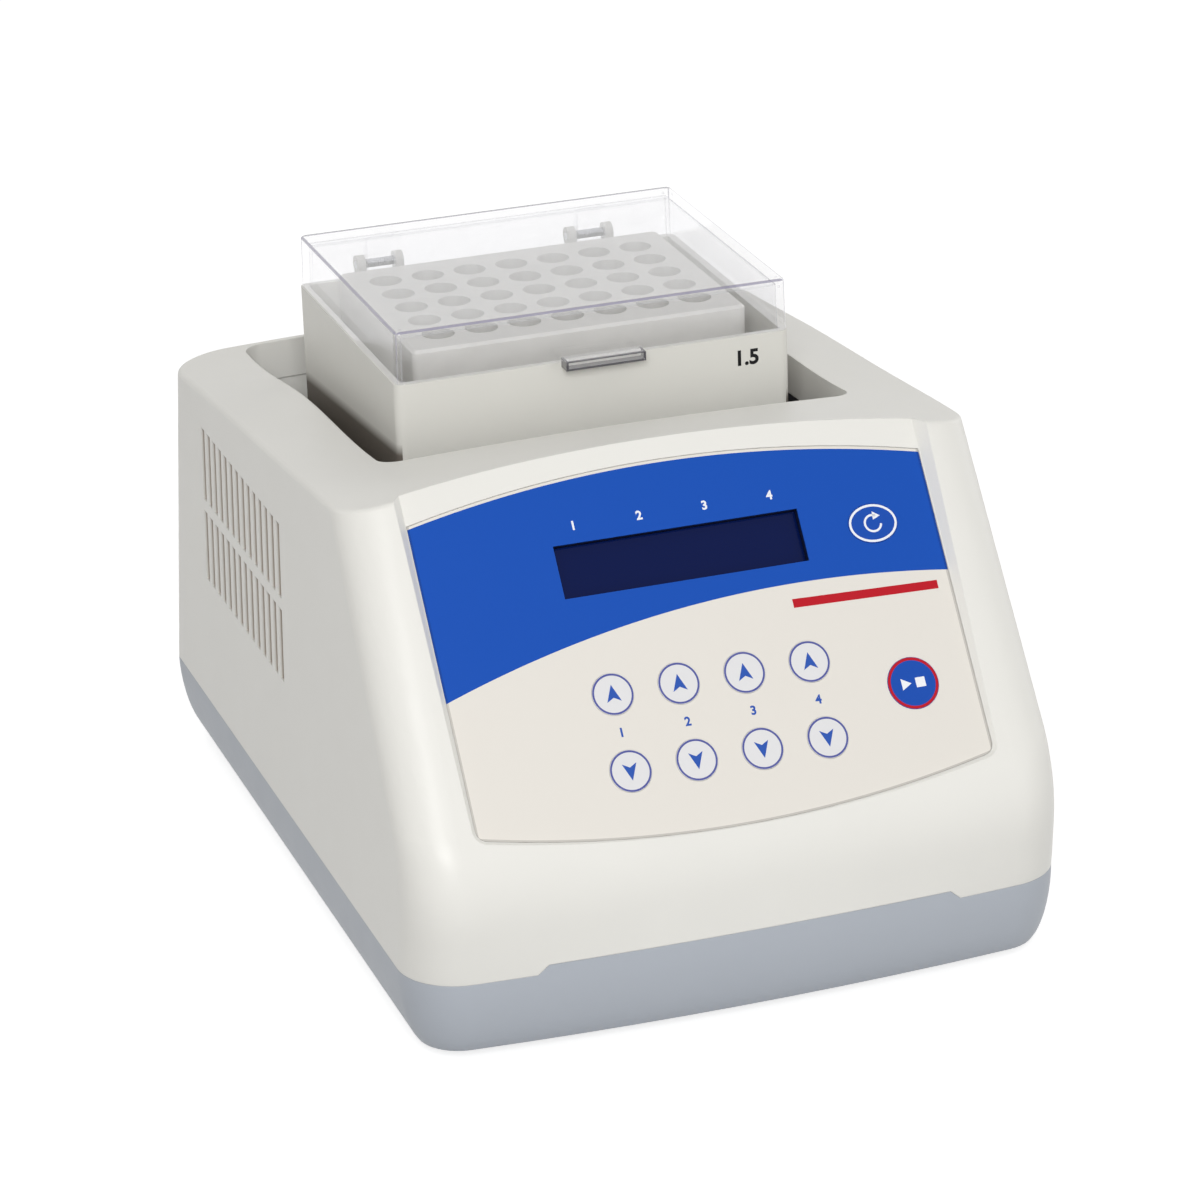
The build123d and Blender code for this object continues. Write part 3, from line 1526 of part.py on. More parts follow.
with BuildPart() as inlet_body:
    with BuildSketch(Plane.XZ.offset(-flange_y)):
        with Locations((inlet_x, inlet_z)):
            RectangleRounded(inlet_width + 2 * inlet_flange, inlet_height + 2 * inlet_flange, 2)
    extrude(amount=flange_thickness)
    with BuildSketch(Plane.XZ.offset(-flange_y)):
        with Locations((inlet_x, inlet_z)):
            Rectangle(inlet_width, inlet_height)
    extrude(amount=flange_y - inlet_back)
    with BuildSketch(Plane.XZ.offset(-flange_y)) as socket:
        with Locations((inlet_x, socket_z)):
            Rectangle(socket_width, socket_height)
        chamfer(socket.vertices().group_by(Axis.Y)[-1], 4)
    extrude(amount=socket_depth, mode=Mode.SUBTRACT)
    with BuildSketch(Plane.XZ.offset(-inlet_back)):
        with Locations(*pin_places):
            Rectangle(*pin_section)
    extrude(amount=-inlet_depth, mode=Mode.SUBTRACT)
    with BuildSketch(Plane.XZ.offset(-flange_y)):
        with Locations((inlet_x, drawer_z)):
            Rectangle(drawer_width, drawer_height)
    extrude(amount=drawer_depth, mode=Mode.SUBTRACT)
    with BuildSketch(Plane.XZ.offset(-flange_y)):
        with Locations((inlet_x, rocker_z)):
            Rectangle(rocker_width, 2 * rocker_cavity_half)
    extrude(amount=rocker_cavity_depth, mode=Mode.SUBTRACT)
    with BuildSketch(Plane.YZ.offset(inlet_x)):
        with Locations((rocker_y, rocker_z)):
            Circle(trunnion_radius + running_gap)
    extrude(amount=rocker_width / 2 + 1, both=True, mode=Mode.SUBTRACT)

inlet_body.part.label = "inlet_body"
export_step(inlet_body.part, "parts/inlet_body.step")

with BuildPart() as inlet_pins:
    with BuildSketch(Plane.XZ.offset(-inlet_back + pin_tail)):
        with Locations(*pin_places):
            Rectangle(*pin_section)
    extrude(amount=-(pin_tail + pin_length))

inlet_pins.part.label = "inlet_pins"
export_step(inlet_pins.part, "parts/inlet_pins.step")

fuse_y = flange_y - drawer_depth / 2

with BuildPart() as fuse_drawer:
    with BuildSketch(Plane.XZ.offset(-flange_y)):
        with Locations((inlet_x, drawer_z)):
            Rectangle(drawer_width - 2 * drawer_gap, drawer_height - 2 * drawer_gap)
    extrude(amount=drawer_depth - 0.5)
    with BuildSketch(Plane.XZ.offset(-flange_y)):
        with Locations((inlet_x, drawer_z - drawer_height / 2 + 1.2)):
            RectangleRounded(drawer_width - 8, 1.8, 0.5)
    extrude(amount=-1.8)
    with BuildSketch(Plane.YZ.offset(inlet_x)):
        with Locations((fuse_y, drawer_z)):
            Circle(fuse_radius)
        with Locations((fuse_y, drawer_z + drawer_height / 2)):
            Rectangle(2 * fuse_radius, drawer_height)
    extrude(amount=fuse_length / 2, both=True, mode=Mode.SUBTRACT)

fuse_drawer.part.label = "fuse_drawer"
export_step(fuse_drawer.part, "parts/fuse_drawer.step")

with BuildPart() as fuse:
    with BuildSketch(Plane.YZ.offset(inlet_x)):
        with Locations((fuse_y, drawer_z)):
            Circle(fuse_radius)
    extrude(amount=fuse_length / 2, both=True)

fuse.part.label = "fuse"
export_step(fuse.part, "parts/fuse.step")

with BuildPart() as power_rocker:
    with BuildSketch(Plane.YZ.offset(inlet_x)):
        with Locations((rocker_y, rocker_z)):
            Polygon(
                (2.6, -rocker_half),
                (1.2, 0),
                (2.6, rocker_half),
                (-3.0, rocker_half - 1.2),
                (-3.0, -rocker_half + 1.2),
                rotation=rocker_tilt,
                align=None,
            )
    extrude(amount=rocker_width / 2 - 0.3, both=True)
    with BuildSketch(Plane.YZ.offset(inlet_x)):
        with Locations((rocker_y, rocker_z)):
            Circle(trunnion_radius)
    extrude(amount=rocker_width / 2 + 0.8, both=True)

power_rocker.part.label = "power_rocker"
export_step(power_rocker.part, "parts/power_rocker.step")
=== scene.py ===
"""Looks of a bench thermal mixer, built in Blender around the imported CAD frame."""

from __future__ import annotations

import logging
import math
from dataclasses import dataclass
from enum import Enum
from typing import Iterator, Sequence

import bpy
import numpy as np
from mathutils import Matrix, Vector

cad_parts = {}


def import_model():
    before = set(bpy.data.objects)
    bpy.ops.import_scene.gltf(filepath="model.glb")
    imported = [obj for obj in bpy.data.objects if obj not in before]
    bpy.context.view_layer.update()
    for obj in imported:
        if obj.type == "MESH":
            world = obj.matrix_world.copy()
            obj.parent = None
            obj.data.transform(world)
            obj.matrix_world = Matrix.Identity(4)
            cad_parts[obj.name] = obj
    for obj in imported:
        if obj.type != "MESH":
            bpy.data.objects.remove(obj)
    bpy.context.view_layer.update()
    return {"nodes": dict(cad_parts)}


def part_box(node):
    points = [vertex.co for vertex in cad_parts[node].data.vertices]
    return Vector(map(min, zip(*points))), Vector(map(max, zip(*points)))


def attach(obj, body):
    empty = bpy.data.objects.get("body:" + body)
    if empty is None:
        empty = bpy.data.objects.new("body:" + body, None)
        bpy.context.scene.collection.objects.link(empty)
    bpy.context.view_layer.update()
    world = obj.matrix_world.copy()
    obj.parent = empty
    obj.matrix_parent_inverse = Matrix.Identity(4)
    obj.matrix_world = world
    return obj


LOG = logging.getLogger("thermal_mixer")
MM = 0.001
Colour = tuple[float, float, float]
Place = tuple[float, float]
PANEL_LEAN = math.radians(53.0)
PANEL_ORIGIN = (0.0, -116.35, 105.4)  # in mm
PANEL_UP = (0.0, math.cos(PANEL_LEAN), math.sin(PANEL_LEAN))
PANEL_OUT = (0.0, -math.sin(PANEL_LEAN), math.cos(PANEL_LEAN))
MIRRORED_RAYS = ("Is Glossy Ray", "Is Transmission Ray")


def linear(red: int, green: int, blue: int) -> Colour:
    """A screen colour of 0 to 255 as the linear colour a shader takes."""

    def channel(value: int) -> float:
        share = value / 255
        return share / 12.92 if share <= 0.04045 else ((share + 0.055) / 1.055) ** 2.4

    return channel(red), channel(green), channel(blue)


# ============================================================ shader sheets


class Signal:
    """A number socket that can be written in an expression; each operator adds a Math node."""

    def __init__(self, sheet: "Sheet", socket: bpy.types.NodeSocket) -> None:
        """Wraps a socket.

        Args:
            sheet: the node sheet that the socket is on.
            socket: the number socket.
        """
        self.sheet = sheet
        self.socket = socket

    def _math(self, operation: str, *values: "Signal | float") -> "Signal":
        """The result of one Math node over the values."""
        node = self.sheet.add(
            "ShaderNodeMath", {"operation": operation}, dict(enumerate(values))
        )
        return Signal(self.sheet, node.outputs[0])

    def __add__(self, other: "Signal | float") -> "Signal":
        """self + other."""
        return self._math("ADD", self, other)

    def __radd__(self, other: float) -> "Signal":
        """other + self."""
        return self._math("ADD", other, self)

    def __sub__(self, other: "Signal | float") -> "Signal":
        """self - other."""
        return self._math("SUBTRACT", self, other)

    def __rsub__(self, other: float) -> "Signal":
        """other - self."""
        return self._math("SUBTRACT", other, self)

    def __mul__(self, other: "Signal | float") -> "Signal":
        """self * other."""
        return self._math("MULTIPLY", self, other)

    def __truediv__(self, other: "Signal | float") -> "Signal":
        """self / other."""
        return self._math("DIVIDE", self, other)

    def __gt__(self, other: "Signal | float") -> "Signal":
        """1 where self is above other, else 0."""
        return self._math("GREATER_THAN", self, other)

    def __lt__(self, other: "Signal | float") -> "Signal":
        """1 where self is below other, else 0."""
        return self._math("LESS_THAN", self, other)

    def absolute(self) -> "Signal":
        """The size of self without its sign."""
        return self._math("ABSOLUTE", self)

    def clamped(self) -> "Signal":
        """self held between 0 and 1."""
        return self._math("MINIMUM", self._math("MAXIMUM", self, 0.0), 1.0)

    def highest(self, other: "Signal | float") -> "Signal":
        """The larger of self and other."""
        return self._math("MAXIMUM", self, other)


class Sheet:
    """The node sheet of one material."""

    def __init__(self, name: str) -> None:
        """Starts an empty material with its output node.

        Args:
            name: the material's name.
        """
        self.material = bpy.data.materials.new(name)
        self.material.use_nodes = True
        self.tree = self.material.node_tree
        self.tree.nodes.clear()
        self.output = self.add("ShaderNodeOutputMaterial")
        self._places: bpy.types.NodeSocket | None = None

    def add(
        self, kind: str, settings: dict | None = None, sockets: dict | None = None
    ) -> bpy.types.Node:
        """Adds any node.

        Args:
            kind: the node's type.
            settings: attributes set before anything else; "stops" fills a colour ramp.
            sockets: input name or number to a value, a Signal or another node's socket.

        Returns:
            The new node.
        """
        node = self.tree.nodes.new(kind)
        for key, value in (settings or {}).items():
            if key == "stops":
                self._fill_ramp(node.color_ramp, value)
            else:
                setattr(node, key, value)
        for key, value in (sockets or {}).items():
            socket = node.inputs[key]
            if isinstance(value, Signal):
                value = value.socket
            if isinstance(value, bpy.types.NodeSocket):
                self.tree.links.new(value, socket)
            elif socket.type == "RGBA" and len(value) == 3:
                socket.default_value = (*value, 1.0)
            else:
                socket.default_value = value
        return node

    @staticmethod
    def _fill_ramp(ramp: bpy.types.ColorRamp, stops: Sequence[tuple[float, float]]) -> None:
        """Sets a ramp's stops, each a place and a grey value."""
        while len(ramp.elements) < len(stops):
            ramp.elements.new(0.5)
        for element, (place, grey) in zip(ramp.elements, stops):
            element.position = place
            element.color = (grey, grey, grey, 1.0)

    @property
    def places(self) -> bpy.types.NodeSocket:
        """Object coordinates, in metres."""
        if self._places is None:
            self._places = self.add("ShaderNodeTexCoord").outputs["Object"]
        return self._places

    def axis(self, direction: Sequence[float], origin: Sequence[float] = (0, 0, 0)) -> Signal:
        """Distance in mm from an origin along a direction.

        Args:
            direction: the unit direction.
            origin: a point in mm where the distance is 0.

        Returns:
            The distance, which is the dot product of place and direction, less the origin's.
        """
        dot = self.add(
            "ShaderNodeVectorMath",
            {"operation": "DOT_PRODUCT"},
            {0: self.places, 1: tuple(direction)},
        ).outputs["Value"]
        start = float(np.dot(direction, origin))
        return Signal(self, dot) * (1 / MM) - start

    def noise(
        self,
        size: float,
        detail: float = 2.0,
        roughness: float = 0.5,
        stretch: Sequence[float] = (1, 1, 1),
    ) -> Signal:
        """Noise from 0 to 1.

        Args:
            size: size of one feature, in mm.
            detail: number of finer layers.
            roughness: strength of the finer layers.
            stretch: factor on each axis; a small one draws the grain out along it.

        Returns:
            The noise.
        """
        places = self.places
        if tuple(stretch) != (1, 1, 1):
            places = self.add(
                "ShaderNodeMapping", None, {"Vector": places, "Scale": tuple(stretch)}
            ).outputs[0]
        node = self.add(
            "ShaderNodeTexNoise",
            None,
            {"Vector": places, "Scale": 1 / (size * MM), "Detail": detail, "Roughness": roughness},
        )
        return Signal(self, node.outputs[0])

    def ramp(self, signal: Signal, *stops: tuple[float, float]) -> Signal:
        """The signal remapped by grey stops."""
        node = self.add("ShaderNodeValToRGB", {"stops": stops}, {0: signal})
        return Signal(self, node.outputs[0])

    def blend(
        self,
        share: Signal,
        low: Colour | bpy.types.NodeSocket,
        high: Colour | bpy.types.NodeSocket,
    ) -> bpy.types.NodeSocket:
        """A colour that goes from low to high as share goes from 0 to 1."""
        sockets = {"Factor": share, 6: low, 7: high}  # 6 and 7 are the two colours
        return self.add("ShaderNodeMix", {"data_type": "RGBA"}, sockets).outputs[2]

    def bump(
        self, height: Signal, depth: float, strength: float = 1.0, rounding: float = 0.0
    ) -> bpy.types.NodeSocket:
        """A normal bent by a height.

        Args:
            height: the height, 0 to 1.
            depth: what 1 stands for, in mm.
            strength: share of the effect.
            rounding: radius in mm that edges are shaded round at, or 0.

        Returns:
            The Normal socket.
        """
        sockets = {"Height": height, "Distance": depth * MM, "Strength": strength}
        if rounding:
            sockets["Normal"] = self.rounded(rounding)
        return self.add("ShaderNodeBump", None, sockets).outputs[0]

    def rounded(self, radius: float) -> bpy.types.NodeSocket:
        """A normal that shades edges as if rounded at a radius in mm."""
        return self.add("ShaderNodeBevel", {"samples": 6}, {"Radius": radius * MM}).outputs[0]

    def finish(self, **sockets: object) -> bpy.types.Material:
        """Ends the sheet in a Principled shader.

        Args:
            **sockets: input names, with spaces as underscores, to values or links.

        Returns:
            The material.
        """
        named = {key.replace("_", " "): value for key, value in sockets.items()}
        shader = self.add("ShaderNodeBsdfPrincipled", None, named)
        self.tree.links.new(shader.outputs[0], self.output.inputs["Surface"])
        return self.material


# ============================================================ finishes


@dataclass(frozen=True)
class Moulded:
    """Injection-moulded plastic: fine spark texture, faint flow mottling and rubbed edges."""

    name: str
    colour: Colour
    roughness: float = 0.42
    grain: float = 0.55  # size of the mould texture, in mm
    depth: float = 0.012  # depth of the mould texture, in mm
    edge: float = 0.5  # radius the edges shade round at, in mm
    mottle: float = 0.012
    gloss: float = 0.4
    rubbed: float = 0.12  # swing of the roughness over handled patches
    sparkle: float = 0.05  # swing of the roughness over the mould texture

    def tone(self, sheet: Sheet) -> bpy.types.NodeSocket:
        """The plastic's colour, a shade darker in slow clouds."""
        cloud = sheet.noise(38.0, 2.0)
        darker = tuple(value * (1 - self.mottle) for value in self.colour)
        return sheet.blend(sheet.ramp(cloud, (0.3, 0.0), (0.7, 1.0)), darker, self.colour)

    def material(self) -> bpy.types.Material:
        """Builds the material."""
        sheet = Sheet(self.name)
        grain = sheet.noise(self.grain, 2.0, 0.6)
        handled = sheet.noise(11.0, 4.0, 0.65)
        return sheet.finish(
            Base_Color=self.tone(sheet),
            Roughness=(
                self.roughness + (handled - 0.5) * self.rubbed + (grain - 0.5) * self.sparkle
            ),
            Specular_IOR_Level=self.gloss,
            Normal=sheet.bump(grain, self.depth, 0.8, self.edge),
        )


@dataclass(frozen=True)
class VentedShell(Moulded):
    """The housing's plastic, with painted shade inside its side slots and behind the window."""

    # painted shade: the slots' inner walls go browner and darker below the outer surface
    slot_shade_tone: Colour = linear(186, 174, 162)
    half_width: float = 110.0  # of the body at its seam, in mm
    seam: float = 29.5
    draft: float = 1.5  # degrees
    slot_start: float = 0.35  # depth at which the slots' painted shade starts, in mm
    slot_fade: float = 0.5
    slot_reach: float = 6.0
    slot_y: tuple[float, float] = (-3.0, 101.0)
    slot_z: tuple[float, float] = (75.0, 134.5)
    # painted shade: the housing's cut sides inside the display window go dark navy
    window_shade_tone: Colour = linear(14, 22, 52)
    window_half: float = 42.5
    window_low: float = 31.0  # up the slope from the panel's origin
    window_high: float = 51.5
    window_sunk: float = 0.3

    def tone(self, sheet: Sheet) -> bpy.types.NodeSocket:
        """The shell's colour, with painted shade on the slots' inner walls and the window's cut
        sides.
        """
        x = sheet.axis((1, 0, 0)).absolute()
        y = sheet.axis((0, 1, 0))
        z = sheet.axis((0, 0, 1))
        depth = self.half_width - (z - self.seam) * math.tan(math.radians(self.draft)) - x
        # painted shade inside the slots, deeper than slot_start below the outer surface
        below = ((depth - self.slot_start) / self.slot_fade).clamped() * (depth < self.slot_reach)
        along = (y > self.slot_y[0]) * (y < self.slot_y[1])
        upright = (z > self.slot_z[0]) * (z < self.slot_z[1])
        tone = sheet.blend(below * along * upright, super().tone(sheet), self.slot_shade_tone)
        slope = sheet.axis(PANEL_UP, PANEL_ORIGIN)
        sunk = sheet.axis(PANEL_OUT, PANEL_ORIGIN) < -self.window_sunk
        window = (x < self.window_half) * (slope > self.window_low) * (slope < self.window_high)
        return sheet.blend(window * sunk, tone, self.window_shade_tone)


@dataclass(frozen=True)
class GapShadedCover(Moulded):
    """The carriage cover's plastic, with painted shade on its side walls where they drop below the
    rim.
    """

    # painted shade for the side walls in the gap below the rim
    gap_shade_tone: Colour = linear(112, 105, 98)
    rim: tuple[float, float] = (156.5, -0.0895)  # the rim's height, and its slope along y
    fade: float = 4.0
    side_x: float = 66.8

    def tone(self, sheet: Sheet) -> bpy.types.NodeSocket:
        """The cover's colour, blended to painted shade over a few millimetres below the rim."""
        y = sheet.axis((0, 1, 0))
        z = sheet.axis((0, 0, 1))
        # painted shade: grows with the drop below the rim, on the side walls only
        drop = y * self.rim[1] + self.rim[0] - z
        side = sheet.axis((1, 0, 0)).absolute() > self.side_x
        share = (drop / self.fade).clamped() * side
        return sheet.blend(share, super().tone(sheet), self.gap_shade_tone)


@dataclass(frozen=True)
class Metal:
    """Machined, turned, blasted or plated metal with its tool marks."""

    name: str
    colour: Colour
    roughness: float = 0.35
    stretch: tuple[float, float, float] = (1.0, 1.0, 1.0)
    grain: float = 0.25
    depth: float = 0.006
    metallic: float = 1.0
    dulled: float = 0.82  # brightness of the duller patches
    brushed: float = 0.2  # swing of the roughness over the tool marks
    stained: float = 0.12  # swing of the roughness over the patches

    def material(self) -> bpy.types.Material:
        """Builds the material."""
        sheet = Sheet(self.name)
        marks = sheet.noise(self.grain, 3.0, 0.6, self.stretch)
        stain = sheet.noise(9.0, 3.0, 0.6)
        darker = tuple(value * self.dulled for value in self.colour)
        return sheet.finish(
            Base_Color=sheet.blend(
                sheet.ramp(stain, (0.35, 0.0), (0.6, 1.0)), darker, self.colour
            ),
            Metallic=self.metallic,
            Roughness=(
                self.roughness + (marks - 0.5) * self.brushed + (stain - 0.5) * self.stained
            ),
            Normal=sheet.bump(marks, self.depth, 0.7, 0.15),
        )


@dataclass(frozen=True)
class Rubber:
    """Matt rubber with a dusty bloom."""

    name: str
    colour: Colour

    def material(self) -> bpy.types.Material:
        """Builds the material."""
        sheet = Sheet(self.name)
        pores = sheet.noise(0.4, 3.0, 0.7)
        bloom = sheet.noise(6.0, 4.0, 0.7)
        dusty = tuple(min(1.0, value * 1.5 + 0.012) for value in self.colour)
        return sheet.finish(
            Base_Color=sheet.blend(
                sheet.ramp(bloom, (0.45, 0.0), (0.75, 1.0)), self.colour, dusty
            ),
            Roughness=0.72 + (bloom - 0.5) * 0.2,
            Normal=sheet.bump(pores, 0.02, 0.8, 0.2),
        )


@dataclass(frozen=True)
class CircuitBoard:
    """Solder mask over tracks, with pads in rows."""

    name: str

    def material(self) -> bpy.types.Material:
        """Builds the material; tracks are the edges of stepped cells and pads a grid of dots."""
        sheet = Sheet(self.name)
        cells = sheet.add(
            "ShaderNodeTexVoronoi",
            {"feature": "F1", "distance": "CHEBYCHEV"},
            {"Vector": sheet.places, "Scale": 190.0},
        )
        tracks = Signal(sheet, cells.outputs["Distance"]) * 3.0
        raised = sheet.ramp(tracks, (0.55, 0.0), (0.6, 1.0))
        colour = sheet.blend(raised, linear(14, 74, 40), linear(28, 104, 58))
        return sheet.finish(
            Base_Color=colour,
            Roughness=0.34 + raised * 0.08,
            Normal=sheet.bump(raised, 0.03),
        )


@dataclass(frozen=True)
class ClearAcrylic:
    """A box of clear acrylic: a pale sheen, milky scuffs, painted reflection lines along its
    edges, a painted dark outline on its grip and painted sheen on its top.
    """

    name: str
    haze: Colour = linear(243, 243, 246)
    # painted reflection: the grey of the lines along the box's outer and inner edges
    line: Colour = linear(138, 134, 160)
    # painted shade: the dark outline round the grip ledge
    grip_shade_outline: Colour = linear(52, 50, 62)
    half: Place = (67.9, 57.0)
    middle_y: float = 46.5
    bottom: float = 178.0
    height: float = 17.6
    draft: float = 1.4  # degrees
    line_width: float = 0.95
    wall: float = 2.5
    inner_width: float = 0.5
    painted_inner_share: float = 0.35
    soft: float = 0.3  # width over which a painted edge line fades, in mm
    grip_x: float = 2.0
    grip_half: float = 13.75
    grip_y: tuple[float, float] = (-16.5, -11.2)
    grip_z: tuple[float, float] = (176.5, 179.6)
    end_line: float = 0.8  # widths of the grip ledge's painted dark outline, in mm
    foot_line: float = 0.7
    lip_line: Place = (0.35, 1.0)  # height and depth
    clear_share: float = 0.01  # milky shares: everywhere, on top as painted sheen, in scuffs and so on
    top_sheen_share: float = 0.05
    scuff_share: float = 0.03
    painted_edge_share: float = 0.7
    ledge_share: float = 0.12
    painted_outline_share: float = 0.7
    sheen: Place = (0.9, 0.04)  # mirror share at a grazing view, and added everywhere

    def edges(self, sheet: Sheet) -> tuple[Signal, Signal]:
        """Where the painted reflection lines along the box's edges are, and where its top is, each
        0 to 1.
        """
        z = sheet.axis((0, 0, 1), (0, 0, self.bottom))
        lean = z * math.tan(math.radians(self.draft))
        x = sheet.axis((1, 0, 0)).absolute() + lean - self.half[0]
        y = sheet.axis((0, 1, 0), (0, self.middle_y, 0)).absolute() + lean - self.half[1]
        near_x, near_y = (((side + self.line_width) / self.soft).clamped() for side in (x, y))
        near_top = ((z - self.height + self.line_width) / self.soft).clamped()
        # painted reflection lines where two outer faces meet, and fainter ones along the inner
        # edges
        edge = (near_x * near_y).highest(near_x * near_top).highest(near_y * near_top)
        in_x, in_y = ((side + self.wall).absolute() < self.inner_width for side in (x, y))
        in_top = (z - self.height + self.wall).absolute() < self.inner_width
        inner = (in_x * in_y).highest(in_x * in_top).highest(in_y * in_top)
        return edge.highest(inner * self.painted_inner_share), near_top

    def grip(self, sheet: Sheet) -> tuple[Signal, Signal]:
        """Where the grip ledge is, and where its painted dark outline is, each 0 to 1."""
        x = sheet.axis((1, 0, 0), (self.grip_x, 0, 0)).absolute()
        y = sheet.axis((0, 1, 0))
        z = sheet.axis((0, 0, 1))
        ledge = y < self.grip_y[1]
        lip_height, lip_depth = self.lip_line
        ends = x > self.grip_half - self.end_line
        low = z < self.grip_z[0] + self.foot_line
        high = (z > self.grip_z[1] - lip_height) * (y < self.grip_y[0] + lip_depth)
        return ledge, ledge * ends.highest(low).highest(high)

    def material(self) -> bpy.types.Material:
        """Builds the material from clear, milky and mirror-like shares."""
        sheet = Sheet(self.name)
        edge, top = self.edges(sheet)
        ledge, outline = self.grip(sheet)
        scuffs = sheet.ramp(sheet.noise(14.0, 4.0, 0.6), (0.35, 0.0), (0.75, 1.0))
        facing = Signal(sheet, sheet.add("ShaderNodeLayerWeight", None, {"Blend": 0.5}).outputs[1])
        grazing = facing * facing * facing * facing * facing
        colour = sheet.blend(edge, self.haze, self.line)
        milky = sheet.add(
            "ShaderNodeBsdfPrincipled",
            None,
            {"Base Color": sheet.blend(outline, colour, self.grip_shade_outline), "Roughness": 0.3},
        )
        mirror = sheet.add(
            "ShaderNodeBsdfPrincipled",
            None,
            {"Base Color": (1.0, 1.0, 1.0, 1.0), "Metallic": 1.0, "Roughness": 0.06},
        )
        clear = sheet.add("ShaderNodeBsdfTransparent", None, {"Color": (0.99, 0.99, 0.995)})
        # painted reflection: the top face is made milkier than the walls
        share = top * self.top_sheen_share + scuffs * self.scuff_share + self.clear_share
        share = share + edge * self.painted_edge_share + ledge * self.ledge_share
        share = share + outline * self.painted_outline_share
        glancing, always = self.sheen
        body = sheet.add(
            "ShaderNodeMixShader", None, {0: share, 1: clear.outputs[0], 2: milky.outputs[0]}
        )
        sheen = sheet.add(
            "ShaderNodeMixShader",
            None,
            {0: grazing * glancing + always, 1: body.outputs[0], 2: mirror.outputs[0]},
        )
        sheet.tree.links.new(sheen.outputs[0], sheet.output.inputs["Surface"])
        return sheet.material


@dataclass(frozen=True)
class PlainInk:
    """Screen-printed ink: flat colour with a slightly open, satin surface."""

    name: str
    colour: Colour
    roughness: float = 0.38

    def material(self) -> bpy.types.Material:
        """Builds the material."""
        sheet = Sheet(self.name)
        mesh_marks = sheet.noise(0.3, 2.0, 0.6)
        thin = tuple(min(1.0, value * 1.08 + 0.004) for value in self.colour)
        return sheet.finish(
            Base_Color=sheet.blend(mesh_marks * 0.6, self.colour, thin),
            Roughness=self.roughness + (mesh_marks - 0.5) * 0.1,
            Specular_IOR_Level=0.2,
            Normal=sheet.bump(mesh_marks, 0.004, 0.5),
        )


class Ink(Enum):
    """Inks printed on the panel, the keys and the carriage."""

    RING = linear(84, 90, 158)
    ARROW = linear(44, 86, 176)
    WHITE = linear(240, 242, 248)
    RED = linear(186, 16, 34)
    BLACK = linear(22, 22, 24)
    KEY_BLUE = linear(40, 80, 176)


# ============================================================ mesh tools


def link(thing: bpy.types.Object) -> None:
    """Puts an object in the scene."""
    bpy.context.scene.collection.objects.link(thing)


def make_object(
    name: str, vertices: np.ndarray, faces: Sequence[Sequence[int]], material: bpy.types.Material
) -> bpy.types.Object:
    """Puts a mesh in the scene, in metres.

    Args:
        name: the piece's name.
        vertices: points in mm, one to a row.
        faces: vertex numbers of each face, anticlockwise from outside.
        material: the finish.

    Returns:
        The object, at the origin.
    """
    mesh = bpy.data.meshes.new(name)
    mesh.from_pydata((vertices * MM).tolist(), [], [list(face) for face in faces])
    mesh.update()
    mesh.materials.append(material)
    piece = bpy.data.objects.new(name, mesh)
    link(piece)
    return piece


def grid_faces(rows: int, columns: int, wrap_rows: bool, wrap_columns: bool) -> np.ndarray:
    """Quads over a grid of points stored row by row, wrapped round where asked."""
    row = np.arange(rows if wrap_rows else rows - 1)
    column = np.arange(columns if wrap_columns else columns - 1)
    down, across = np.meshgrid(row, column, indexing="ij")
    next_down = (down + 1) % rows
    next_across = (across + 1) % columns
    corners = (
        down * columns + across,
        down * columns + next_across,
        next_down * columns + next_across,
        next_down * columns + across,
    )
    return np.stack(corners, axis=-1).reshape(-1, 4)


@dataclass(frozen=True)
class Flat:
    """A flat surface to print on: local x and y run over it and z stands out of it."""

    origin: tuple[float, float, float]
    x_axis: tuple[float, float, float]
    normal: tuple[float, float, float]

    @property
    def y_axis(self) -> np.ndarray:
        """The direction up the surface, which is the normal crossed with x."""
        return np.cross(self.normal, self.x_axis)

    def place(self, local: np.ndarray) -> np.ndarray:
        """Local points, in mm, as points in the frame: origin plus each axis times its share."""
        axes = np.stack([self.x_axis, self.y_axis, np.array(self.normal, float)])
        return np.asarray(self.origin, float) + np.asarray(local, float) @ axes

    def matrix(self, x: float, y: float, z: float) -> Matrix:
        """The placing of a flat piece at a local point, in metres."""
        spot = self.place(np.array([x, y, z])) * MM
        columns = (self.x_axis, self.y_axis, self.normal)
        rows = [[axis[i] for axis in columns] + [spot[i]] for i in range(3)]
        return Matrix([*rows, [0, 0, 0, 1]])


